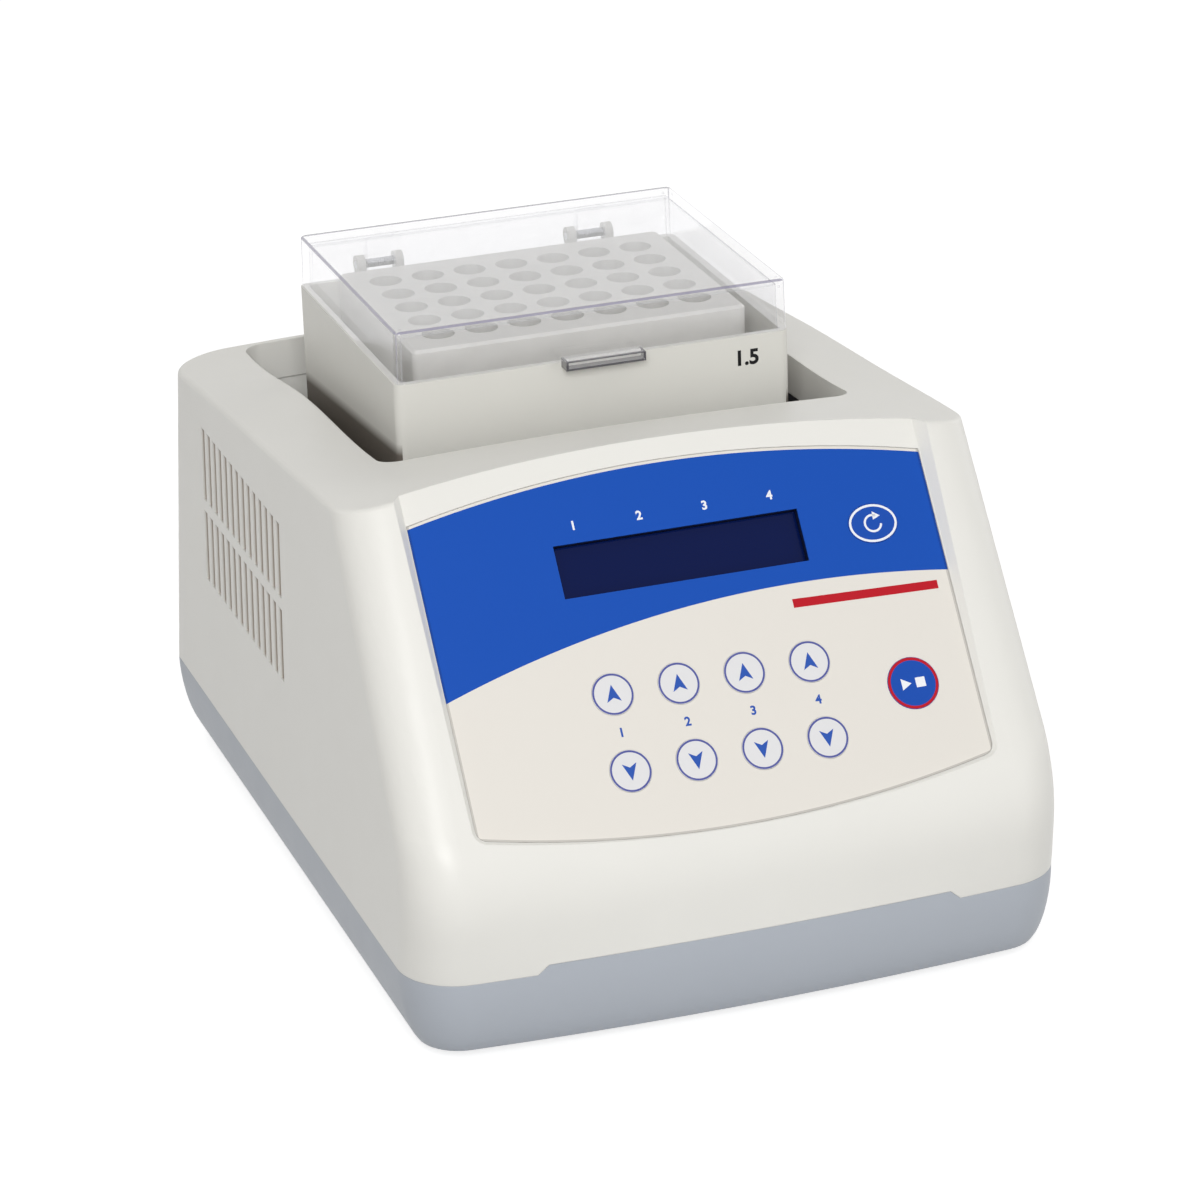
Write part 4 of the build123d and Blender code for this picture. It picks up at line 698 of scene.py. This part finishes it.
@dataclass(frozen=True)
class Printer:
    """Lays thin shapes of ink on a flat surface."""

    flat: Flat
    foot: float = -0.02  # how far the ink's underside is sunk, in mm
    top: float = 0.03
    digit_share: float = 0.72  # height of a digit, as a share of the font's size
    weight: float = 0.045  # how much bolder than the font, as a share of the height

    def slab(
        self, name: str, outline: np.ndarray, material: bpy.types.Material
    ) -> bpy.types.Object:
        """A flat shape: its outline, anticlockwise, carried straight from foot to top."""
        count = len(outline)
        low = np.column_stack([outline, np.full(count, self.foot)])
        high = np.column_stack([outline, np.full(count, self.top)])
        ring = np.arange(count)
        faces = [list(ring + count), list(ring[::-1])]
        turn = np.roll(ring, -1)
        faces += np.stack([ring, turn, turn + count, ring + count], axis=-1).tolist()
        return make_object(name, self.flat.place(np.vstack([low, high])), faces, material)

    def stroke(
        self,
        name: str,
        path: np.ndarray,
        width: float,
        material: bpy.types.Material,
        closed: bool = False,
    ) -> bpy.types.Object:
        """A line of ink: a rectangular profile carried along a path.

        Args:
            name: the piece's name.
            path: local points in order, one to a row.
            width: width of the line, in mm.
            material: the ink.
            closed: whether the path returns to its start.

        Returns:
            The object. Each profile stands square to the path's tangent there, which is the
            difference of the points either side.
        """
        if closed:
            along = np.roll(path, -1, axis=0) - np.roll(path, 1, axis=0)
        else:
            along = np.gradient(path, axis=0)
        along = along / np.linalg.norm(along, axis=1, keepdims=True)
        side = np.column_stack([-along[:, 1], along[:, 0]]) * width / 2
        corners = [
            np.column_stack([path + side * sign, np.full(len(path), height)])
            for sign, height in ((-1, self.foot), (-1, self.top), (1, self.top), (1, self.foot))
        ]
        points = np.stack(corners, axis=1).reshape(-1, 3)
        faces = grid_faces(len(path), 4, closed, True).tolist()
        if not closed:
            last = 4 * (len(path) - 1)
            faces += [[3, 2, 1, 0], [last, last + 1, last + 2, last + 3]]
        return make_object(name, self.flat.place(points), faces, material)

    def writing(
        self, name: str, words: str, middle: Place, height: float, material: bpy.types.Material
    ) -> bpy.types.Object:
        """Plain numbers, centred, as a mesh.

        Args:
            name: the piece's name.
            words: the digits.
            middle: local place of their middle.
            height: height of a digit, in mm.
            material: the ink.

        Returns:
            The object, whose letters are filled outlines with a thickness.
        """
        curve = bpy.data.curves.new(name, "FONT")
        curve.body = words
        curve.align_x = "CENTER"
        curve.align_y = "CENTER"
        curve.size = height * MM / self.digit_share
        curve.extrude = (self.top - self.foot) * MM / 2
        curve.offset = height * MM * self.weight
        curve.resolution_u = 6
        text = bpy.data.objects.new(name, curve)
        mesh = bpy.data.meshes.new_from_object(text)
        bpy.data.objects.remove(text)
        mesh.transform(self.flat.matrix(*middle, (self.top + self.foot) / 2))
        mesh.materials.clear()
        mesh.materials.append(material)
        mesh.name = name
        piece = bpy.data.objects.new(name, mesh)
        link(piece)
        return piece


def arc(centre: Place, radius: float, start: float, end: float, count: int = 33) -> np.ndarray:
    """Points on an arc: centre plus radius times cosine and sine, angles in degrees."""
    angle = np.radians(np.linspace(start, end, count))
    return np.column_stack(
        [centre[0] + radius * np.cos(angle), centre[1] + radius * np.sin(angle)]
    )


def oval(centre: Place, radii: Place, count: int = 72) -> np.ndarray:
    """Points round an ellipse, anticlockwise, without repeating the first."""
    angle = np.linspace(0, 2 * np.pi, count, endpoint=False)
    return np.column_stack(
        [centre[0] + radii[0] * np.cos(angle), centre[1] + radii[1] * np.sin(angle)]
    )


# ============================================================ sub-assemblies


@dataclass
class Looks:
    """Gives CAD nodes their finishes."""

    nodes: dict[str, bpy.types.Object]

    def give(self, material: bpy.types.Material, *names: str) -> None:
        """Puts one material on every slot of the named nodes."""
        for name in names:
            mesh = self.nodes[name].data
            mesh.materials.clear()
            mesh.materials.append(material)
            LOG.info("dressed %s in %s", name, material.name)


@dataclass
class Casing:
    """The moulded housing, the tray under it and its feet."""

    looks: Looks
    shell: VentedShell = VentedShell(
        "shell_offwhite", linear(236, 235, 230), 0.38, 0.5, 0.006, 0.5
    )
    tray: Moulded = Moulded("tray_bluegrey", linear(180, 186, 195), 0.45, 0.5, 0.010, 0.6)
    feet: Rubber = Rubber("foot_rubber", linear(34, 34, 36))

    def dress(self) -> None:
        """Gives the casing its plastics and rubber."""
        self.looks.give(self.shell.material(), "housing")
        self.looks.give(self.tray.material(), "base_tray")
        self.looks.give(self.feet.material(), "rubber_feet")


@dataclass
class PanelFilm:
    """The printed film: cream below, blue above a shallow curve, with a light rim on top and
    painted shadow along its side and lower edges.
    """

    flat: Flat
    blue: Colour = linear(8, 78, 180)
    cream: Colour = linear(231, 227, 220)
    curve: tuple[float, float, float] = (24.2, 0.098, -0.001384)  # height, slope and bend over x
    rim: float = 0.9
    top_middle: float = 72.9
    top_bend: float = 0.001298
    half: float = 86.0
    foot: tuple[float, float] = (350.2, 398.1)  # middle and radius of the lower edge's arc
    border: float = 0.7
    shade: float = 0.72  # brightness of the painted shadow line along the film's border

    def shadow_line_share(self, sheet: Sheet, x: Signal, y: Signal) -> Signal:
        """Where a painted shadow line darkens the film's side and lower edges, 0 or 1."""
        sides = x.absolute() > self.half - self.border
        rise = y - self.foot[0]
        low = (x * x + rise * rise > (self.foot[1] - self.border) ** 2) * (y < 0.0)
        return sides.highest(low)

    def material(self) -> bpy.types.Material:
        """Builds the film; the blue starts where y passes height + slope x + bend x squared."""
        sheet = Sheet("panel_film")
        x = sheet.axis(self.flat.x_axis, self.flat.origin)
        y = sheet.axis(self.flat.y_axis, self.flat.origin)
        height, slope, bend = self.curve
        above = (y - (x * slope + x * x * bend + height)) > 0
        inside = (self.top_middle - self.rim - x * x * self.top_bend - y) > 0
        # painted shadow line where the film meets its pocket's side and lower walls
        shadow_line = self.shadow_line_share(sheet, x, y)
        cream, blue = (
            sheet.blend(shadow_line, tone, tuple(value * self.shade for value in tone))
            for tone in (self.cream, self.blue)
        )
        printed = sheet.blend(above * inside, cream, blue)
        grain = sheet.noise(0.35, 2.0, 0.6)
        return sheet.finish(
            Base_Color=printed,
            Roughness=0.42 + (sheet.noise(14.0, 3.0) - 0.5) * 0.08,
            Specular_IOR_Level=0.22,
            Normal=sheet.bump(grain, 0.006, 0.6),
        )


@dataclass
class ControlPanel:
    """Film, display and keys on the sloping front."""

    looks: Looks
    film_level: float = -0.3  # the film's face, below the panel's plane, in mm
    key_level: float = -0.15
    pitch: float = 21.92
    rows: tuple[float, float] = (0.0, -25.05)
    ring: float = 6.35
    ring_width: float = 0.62
    start_place: Place = (65.1, -12.4)
    start_radius: float = 8.5
    pulse_place: Place = (64.9, 41.3)
    pulse_radii: Place = (8.3, 6.5)
    start_line: Place = (0.55, 0.9)  # a ring's inset from its key's edge, and its width
    pulse_line: Place = (0.6, 0.75)
    turn_radius: float = 2.7
    turn_angles: Place = (60, 350)
    turn_width: float = 0.7
    digit: float = 2.9
    key_digits_y: float = -12.6
    display_digits: tuple[float, float, float] = (-33.0, 22.0, 55.6)  # first x, pitch and y
    stripe: tuple[Place, ...] = ((32.2, 18.0), (81.4, 16.8), (81.4, 19.6), (32.2, 20.9))

    def __post_init__(self) -> None:
        """Mixes the panel's inks."""
        self.inks = {ink: PlainInk(f"ink_{ink.name.lower()}", ink.value).material() for ink in Ink}

    def flat(self, level: float) -> Flat:
        """The plane at a level over the panel's own."""
        base = np.array(PANEL_ORIGIN) + np.array(PANEL_OUT) * level
        return Flat(tuple(base), (1.0, 0.0, 0.0), PANEL_OUT)

    def arrow_keys(self) -> Iterator[tuple[str, Place, int]]:
        """Name, place and direction of each arrow key."""
        for column in range(4):
            for row, height, way in zip(("up", "down"), self.rows, (1, -1)):
                yield f"key_{row}_{column + 1}", (self.pitch * (column - 1.5), height), way

    def dress(self) -> None:
        """Gives the film, the keys and the display their finishes."""
        self.looks.give(PanelFilm(self.flat(0)).material(), "panel_overlay")
        cap = Moulded("key_cap", linear(228, 228, 230), 0.35, 0.4, 0.004, 0.2).material()
        for name, _, _ in self.arrow_keys():
            self.looks.give(cap, name)
        blue = Moulded(
            "key_blue", linear(16, 76, 176), 0.4, 0.4, 0.004, 0.2, gloss=0.22
        ).material()
        self.looks.give(blue, "key_start_stop", "key_pulse")
        self.looks.give(self.lens(), "display_lens")

    def lens(self) -> bpy.types.Material:
        """A nearly black blue window, glossy over a dark cell."""
        sheet = Sheet("display_window")
        smear = sheet.noise(16.0, 4.0, 0.7)
        return sheet.finish(
            Base_Color=linear(0, 18, 72),
            Roughness=0.14 + smear * 0.06,
            Specular_IOR_Level=0.12,
        )

    def build(self) -> None:
        """Prints the keys' rings and signs, the column numbers and the stripe."""
        for name, place, way in self.arrow_keys():
            printer = Printer(self.flat(self.key_level))
            ring = printer.stroke(
                f"{name}_ring", oval(place, (self.ring, self.ring)), self.ring_width,
                self.inks[Ink.RING], closed=True,
            )
            sign = printer.slab(f"{name}_arrow", self.arrow(place, way), self.inks[Ink.ARROW])
            for piece in (ring, sign):
                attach(piece, name)
        LOG.info("built the arrow keys' rings and signs")
        self.start_key()
        self.pulse_key()
        self.film_marks()

    @staticmethod
    def arrow(place: Place, way: int) -> np.ndarray:
        """A notched arrowhead, pointing up the panel or down it."""
        points = np.array([(0, 3.1), (-2.4, -2.5), (0, -1.15), (2.4, -2.5)])
        return np.asarray(place) + points * (1, way) if way > 0 else (
            np.asarray(place) + (points * (1, way))[::-1]
        )

    def start_key(self) -> None:
        """A red ring with the signs for run and stop in white."""
        x, y = self.start_place
        printer = Printer(self.flat(self.key_level))
        inset, width = self.start_line
        ring = printer.stroke(
            "key_start_stop_ring", oval((x, y), (self.start_radius - inset,) * 2), width,
            self.inks[Ink.RED], closed=True,
        )
        run = printer.slab(
            "key_start_stop_run",
            np.array([(x - 3.9, y - 1.9), (x - 0.6, y), (x - 3.9, y + 1.9)]),
            self.inks[Ink.WHITE],
        )
        left, right, low, high = x + 0.9, x + 4.1, y - 1.6, y + 1.6
        stop = printer.slab(
            "key_start_stop_stop",
            np.array([(left, low), (right, low), (right, high), (left, high)]),
            self.inks[Ink.WHITE],
        )
        for piece in (ring, run, stop):
            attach(piece, "key_start_stop")
        LOG.info("built the start key's print")

    def pulse_key(self) -> None:
        """A white oval ring round a turning arrow."""
        x, y = self.pulse_place
        printer = Printer(self.flat(self.key_level))
        inset, width = self.pulse_line
        rim = printer.stroke(
            "key_pulse_ring",
            oval((x, y), (self.pulse_radii[0] - inset, self.pulse_radii[1] - inset)),
            width, self.inks[Ink.WHITE], closed=True,
        )
        turn = printer.stroke(
            "key_pulse_turn", arc((x, y), self.turn_radius, *self.turn_angles), self.turn_width,
            self.inks[Ink.WHITE],
        )
        head = printer.slab(
            "key_pulse_head",
            np.array([(x + 0.3, y + 1.1), (x + 2.9, y + 2.2), (x + 0.5, y + 3.9)]),
            self.inks[Ink.WHITE],
        )
        for piece in (rim, turn, head):
            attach(piece, "key_pulse")
        LOG.info("built the pulse key's print")

    def film_marks(self) -> None:
        """Numbers over the columns and the display, and the plain red stripe."""
        printer = Printer(self.flat(self.film_level))
        pieces = []
        first, pitch, height = self.display_digits
        for column in range(4):
            number = str(column + 1)
            for row, place, ink in (
                ("keys", (self.pitch * (column - 1.5), self.key_digits_y), Ink.ARROW),
                ("display", (first + pitch * column, height), Ink.WHITE),
            ):
                name = f"mark_{row}_{number}"
                pieces.append(printer.writing(name, number, place, self.digit, self.inks[ink]))
        pieces.append(printer.slab("panel_stripe", np.array(self.stripe), self.inks[Ink.RED]))
        for piece in pieces:
            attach(piece, "base")
        LOG.info("built the film's marks")


@dataclass
class Carriage:
    """The orbiting carriage: cover, heated seat, tube block and clear lid."""

    looks: Looks
    cover: GapShadedCover = GapShadedCover("cover_offwhite", linear(224, 223, 217), 0.42, 0.5, 0.008, 0.4)
    mark_place: Place = (53.0, 170.0)
    mark_height: float = 5.2

    def dress(self) -> None:
        """Gives the carriage's pieces their finishes."""
        self.looks.give(self.cover.material(), "carriage_cover")
        self.looks.give(
            Metal(
                "block_blasted", linear(222, 221, 217), 0.5, grain=0.4, metallic=0.2, dulled=0.95
            ).material(),
            "tube_block",
        )
        self.looks.give(ClearAcrylic("lid_acrylic").material(), "lid")
        self.looks.give(
            Metal("plate_milled", linear(186, 188, 190), 0.34, stretch=(0.08, 1, 1)).material(),
            "orbit_plate",
            "heater_plate",
            "idler_cups",
        )
        self.looks.give(Rubber("heater_silicone", linear(178, 84, 50)).material(), "heater_mat")
        self.looks.give(Rubber("seat_foam", linear(214, 208, 190)).material(), "insulation_pad")

    def build(self) -> None:
        """Prints the block's size number on the cover's front."""
        low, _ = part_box("carriage_cover")
        front = Flat((0.0, low.y / MM, 0.0), (1.0, 0.0, 0.0), (0.0, -1.0, 0.0))
        ink = PlainInk("ink_cover_mark", Ink.BLACK.value).material()
        mark = Printer(front).writing(
            "cover_mark", "1.5", self.mark_place, self.mark_height, ink
        )
        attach(mark, "carriage")
        LOG.info("built the cover's mark")


@dataclass
class Drive:
    """Deck, motor, crank, counterweight and idlers."""

    looks: Looks

    def dress(self) -> None:
        """Gives the drive its finishes."""
        # the deck and liner are powder-coated black, and dark also as painted shade in the recess
        # round the carriage
        deck = Moulded("deck_powder_black_and_shade", linear(48, 49, 52), 0.62, 0.8, 0.03, 0.3)
        self.looks.give(deck.material(), "deck_plate", "recess_liner")
        steel = Metal("steel_turned", linear(176, 178, 182), 0.26, stretch=(1, 1, 0.1)).material()
        self.looks.give(
            steel, "drive_crank", "idler_lower_bearings", "idler_upper_bearings", "crank_bearing",
            "idler_front_left", "idler_front_right", "idler_rear_left", "idler_rear_right",
            "hinge_pins", "locating_pins", "temperature_sensor", "deck_columns",
        )
        self.looks.give(
            Metal("screw_plated", linear(190, 190, 192), 0.3).material(),
            "foot_screws", "housing_screws", "frame_screws", "small_screws", "carriage_screws",
        )
        self.looks.give(
            Metal("weight_brass", linear(196, 164, 92), 0.32, stretch=(0.1, 1, 1)).material(),
            "counterweight", "board_standoffs", "inlet_pins",
        )
        self.looks.give(
            Moulded("motor_can", linear(64, 66, 70), 0.45, 0.6, 0.02).material(), "motor"
        )
        self.looks.give(
            Metal("sheet_zinc", linear(168, 171, 176), 0.4, grain=3.0, depth=0.004).material(),
            "chassis_plate", "power_supply",
        )


@dataclass
class Electronics:
    """Boards, switches, supply, ribbon and display cell."""

    looks: Looks

    def dress(self) -> None:
        """Gives the boards and their parts their finishes."""
        self.looks.give(CircuitBoard("board_mask").material(), "main_board", "display_board")
        self.looks.give(
            Moulded("component_black", linear(30, 30, 32), 0.5, 0.4, 0.01).material(),
            "board_components", "key_switches", "lcd_module",
        )
        ribbon = Moulded("ribbon_grey", linear(150, 152, 156), 0.5, 0.6, 0.02).material()
        self.looks.give(ribbon, "ribbon_cable")


@dataclass
class RearFittings:
    """Mains inlet, fuse drawer, switch and fan."""

    looks: Looks
    rocker_x: float = -68.0
    off_face: tuple[float, float, float] = (144.151, 93.771, 0.35)  # y, z and lift in degrees
    on_face: tuple[float, float, float] = (145.878, 82.867, 17.65)
    ring_radius: float = 1.7
    ring_width: float = 0.7

    def dress(self) -> None:
        """Gives the rear fittings their finishes."""
        black = Moulded("fitting_black", linear(26, 26, 28), 0.42, 0.5, 0.012, 0.25).material()
        self.looks.give(
            black, "inlet_body", "fuse_drawer", "power_rocker", "fan_frame", "fan_rotor"
        )
        self.looks.give(Metal("fuse_caps", linear(200, 200, 196), 0.22).material(), "fuse")

    def build(self) -> None:
        """Marks the rocker's two faces with a bar and a ring."""
        ink = PlainInk("ink_rocker_mark", Ink.WHITE.value).material()
        bar = np.array([(-0.45, -1.8), (0.45, -1.8), (0.45, 1.8), (-0.45, 1.8)])
        pieces = (
            self.face(*self.off_face).stroke(
                "rocker_mark_off", oval((0, 0), (self.ring_radius,) * 2, 40), self.ring_width,
                ink, closed=True,
            ),
            self.face(*self.on_face).slab("rocker_mark_on", bar, ink),
        )
        for piece in pieces:
            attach(piece, "power_rocker")
        LOG.info("built the rocker's marks")

    def face(self, y: float, z: float, lift: float) -> Printer:
        """A printer on a face of the rocker.

        Args:
            y: the face's middle, in mm.
            z: its height, in mm.
            lift: how far it faces up from level, in degrees.

        Returns:
            The printer, whose x runs towards -X so that signs read from the rear.
        """
        normal = (0.0, math.cos(math.radians(lift)), math.sin(math.radians(lift)))
        return Printer(Flat((self.rocker_x, y, z), (-1.0, 0.0, 0.0), normal))


@dataclass
class Studio:
    """Camera, lights, floor and world."""

    aim: tuple[float, float, float] = (-2.194, -14.05, 93.69)
    azimuth: float = -18.3236
    elevation: float = 22.1777
    roll: float = -1.9736
    distance: float = 1596.15
    focal: float = 4790.1  # in pixels of a 1200 pixel frame
    frame_pixels: float = 1200.0
    sensor: float = 36.0
    ambient: Colour = (1.0, 0.99, 0.97)
    ambient_strength: float = 0.5
    floor_grey: float = 0.5
    floor_glow: float = 0.75
    floor_reach: float = 6000.0  # half the floor's side, in mm

    @staticmethod
    def bearing(azimuth: float, elevation: float) -> Vector:
        """The unit direction at an azimuth from the front and a height, both in degrees."""
        turn, lift = math.radians(azimuth), math.radians(elevation)
        return Vector(
            (math.sin(turn) * math.cos(lift), -math.cos(turn) * math.cos(lift), math.sin(lift))
        )

    def camera(self) -> None:
        """Makes the camera: back along the view direction, then rolled about it."""
        turn, roll = math.radians(self.azimuth), math.radians(self.roll)
        back = self.bearing(self.azimuth, self.elevation)
        right = Vector((math.cos(turn), math.sin(turn), 0.0))
        up = back.cross(right)
        across = right * math.cos(roll) + up * math.sin(roll)
        upward = up * math.cos(roll) - right * math.sin(roll)
        data = bpy.data.cameras.new("camera")
        data.sensor_width = self.sensor
        data.sensor_fit = "AUTO"
        data.lens = self.focal / self.frame_pixels * self.sensor
        data.clip_start = 0.05
        data.clip_end = 50.0
        camera = bpy.data.objects.new("camera", data)
        spot = (Vector(self.aim) + back * self.distance) * MM
        axes = (across, upward, back)
        camera.matrix_world = Matrix(
            [[axis[i] for axis in axes] + [spot[i]] for i in range(3)] + [[0, 0, 0, 1]]
        )
        link(camera)
        bpy.context.scene.camera = camera

    def lamp(
        self, name: str, azimuth: float, elevation: float, reach: float, size: float, power: float
    ) -> None:
        """A square soft light that faces the object's middle.

        Args:
            name: the lamp's name.
            azimuth: its direction round the object, in degrees from the front towards +X.
            elevation: its height over the bench, in degrees.
            reach: its distance from the object's middle, in metres.
            size: its side, in metres.
            power: its power, in watts.
        """
        away = self.bearing(azimuth, elevation)
        data = bpy.data.lights.new(name, "AREA")
        data.size = size
        data.energy = power
        lamp = bpy.data.objects.new(name, data)
        lamp.location = away * reach + Vector((0.0, 0.0, 0.1))
        lamp.rotation_mode = "QUATERNION"
        lamp.rotation_quaternion = (-away).to_track_quat("-Z", "Y")
        link(lamp)

    def lights(self) -> None:
        """A key from the front left, a wide fill from the front and one for the rear and right."""
        self.lamp("key_light", -20.0, 31.0, 1.9, 0.6, 15.6)
        self.lamp("front_light", 35.0, 12.0, 2.0, 1.2, 3.8)
        self.lamp("rear_light", 112.0, 14.0, 2.0, 1.0, 4.5)

    def world(self) -> None:
        """A plain pale world, white where the camera sees it."""
        world = bpy.data.worlds.new("world")
        world.use_nodes = True
        tree = world.node_tree
        tree.nodes.clear()
        path = tree.nodes.new("ShaderNodeLightPath")
        lit = tree.nodes.new("ShaderNodeBackground")
        lit.inputs["Color"].default_value = (*self.ambient, 1.0)
        lit.inputs["Strength"].default_value = self.ambient_strength
        seen = tree.nodes.new("ShaderNodeBackground")
        seen.inputs["Color"].default_value = (1.0, 1.0, 1.0, 1.0)
        seen.inputs["Strength"].default_value = 1.0
        shown = path.outputs["Is Camera Ray"]
        for ray in MIRRORED_RAYS:
            either = tree.nodes.new("ShaderNodeMath")
            either.operation = "MAXIMUM"
            tree.links.new(shown, either.inputs[0])
            tree.links.new(path.outputs[ray], either.inputs[1])
            shown = either.outputs[0]
        mix = tree.nodes.new("ShaderNodeMixShader")
        tree.links.new(shown, mix.inputs[0])
        tree.links.new(lit.outputs[0], mix.inputs[1])
        tree.links.new(seen.outputs[0], mix.inputs[2])
        output = tree.nodes.new("ShaderNodeOutputWorld")
        tree.links.new(mix.outputs[0], output.inputs["Surface"])
        bpy.context.scene.world = world

    def floor(self) -> None:
        """A wide pale floor that keeps the object's shadow and is white elsewhere."""
        sheet = Sheet("floor")
        matt = sheet.add("ShaderNodeBsdfDiffuse", None, {"Color": (self.floor_grey,) * 3})
        path = sheet.add("ShaderNodeLightPath")
        seen = Signal(sheet, path.outputs["Is Camera Ray"])
        for ray in MIRRORED_RAYS:
            seen = seen.highest(Signal(sheet, path.outputs[ray]))
        glow = sheet.add(
            "ShaderNodeEmission",
            None,
            {"Color": (1.0, 1.0, 1.0), "Strength": seen * self.floor_glow},
        )
        total = sheet.add("ShaderNodeAddShader", None, {0: matt.outputs[0], 1: glow.outputs[0]})
        sheet.tree.links.new(total.outputs[0], sheet.output.inputs["Surface"])
        corners = np.array([(-1, -1, 0), (1, -1, 0), (1, 1, 0), (-1, 1, 0)], float)
        corners = corners * self.floor_reach
        floor = make_object("floor", corners, [(0, 1, 2, 3)], sheet.material)


def main() -> None:
    """Builds the studio and dresses every sub-assembly."""
    logging.basicConfig(level=logging.INFO, format="%(name)s: %(message)s")
    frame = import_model()
    bpy.context.scene.view_settings.view_transform = "Standard"
    studio = Studio()
    studio.camera()
    studio.world()
    studio.lights()
    studio.floor()
    looks = Looks(frame["nodes"])
    Casing(looks).dress()
    panel = ControlPanel(looks)
    panel.dress()
    panel.build()
    carriage = Carriage(looks)
    carriage.dress()
    carriage.build()
    Drive(looks).dress()
    Electronics(looks).dress()
    rear = RearFittings(looks)
    rear.dress()
    rear.build()


if __name__ == "__main__":
    main()
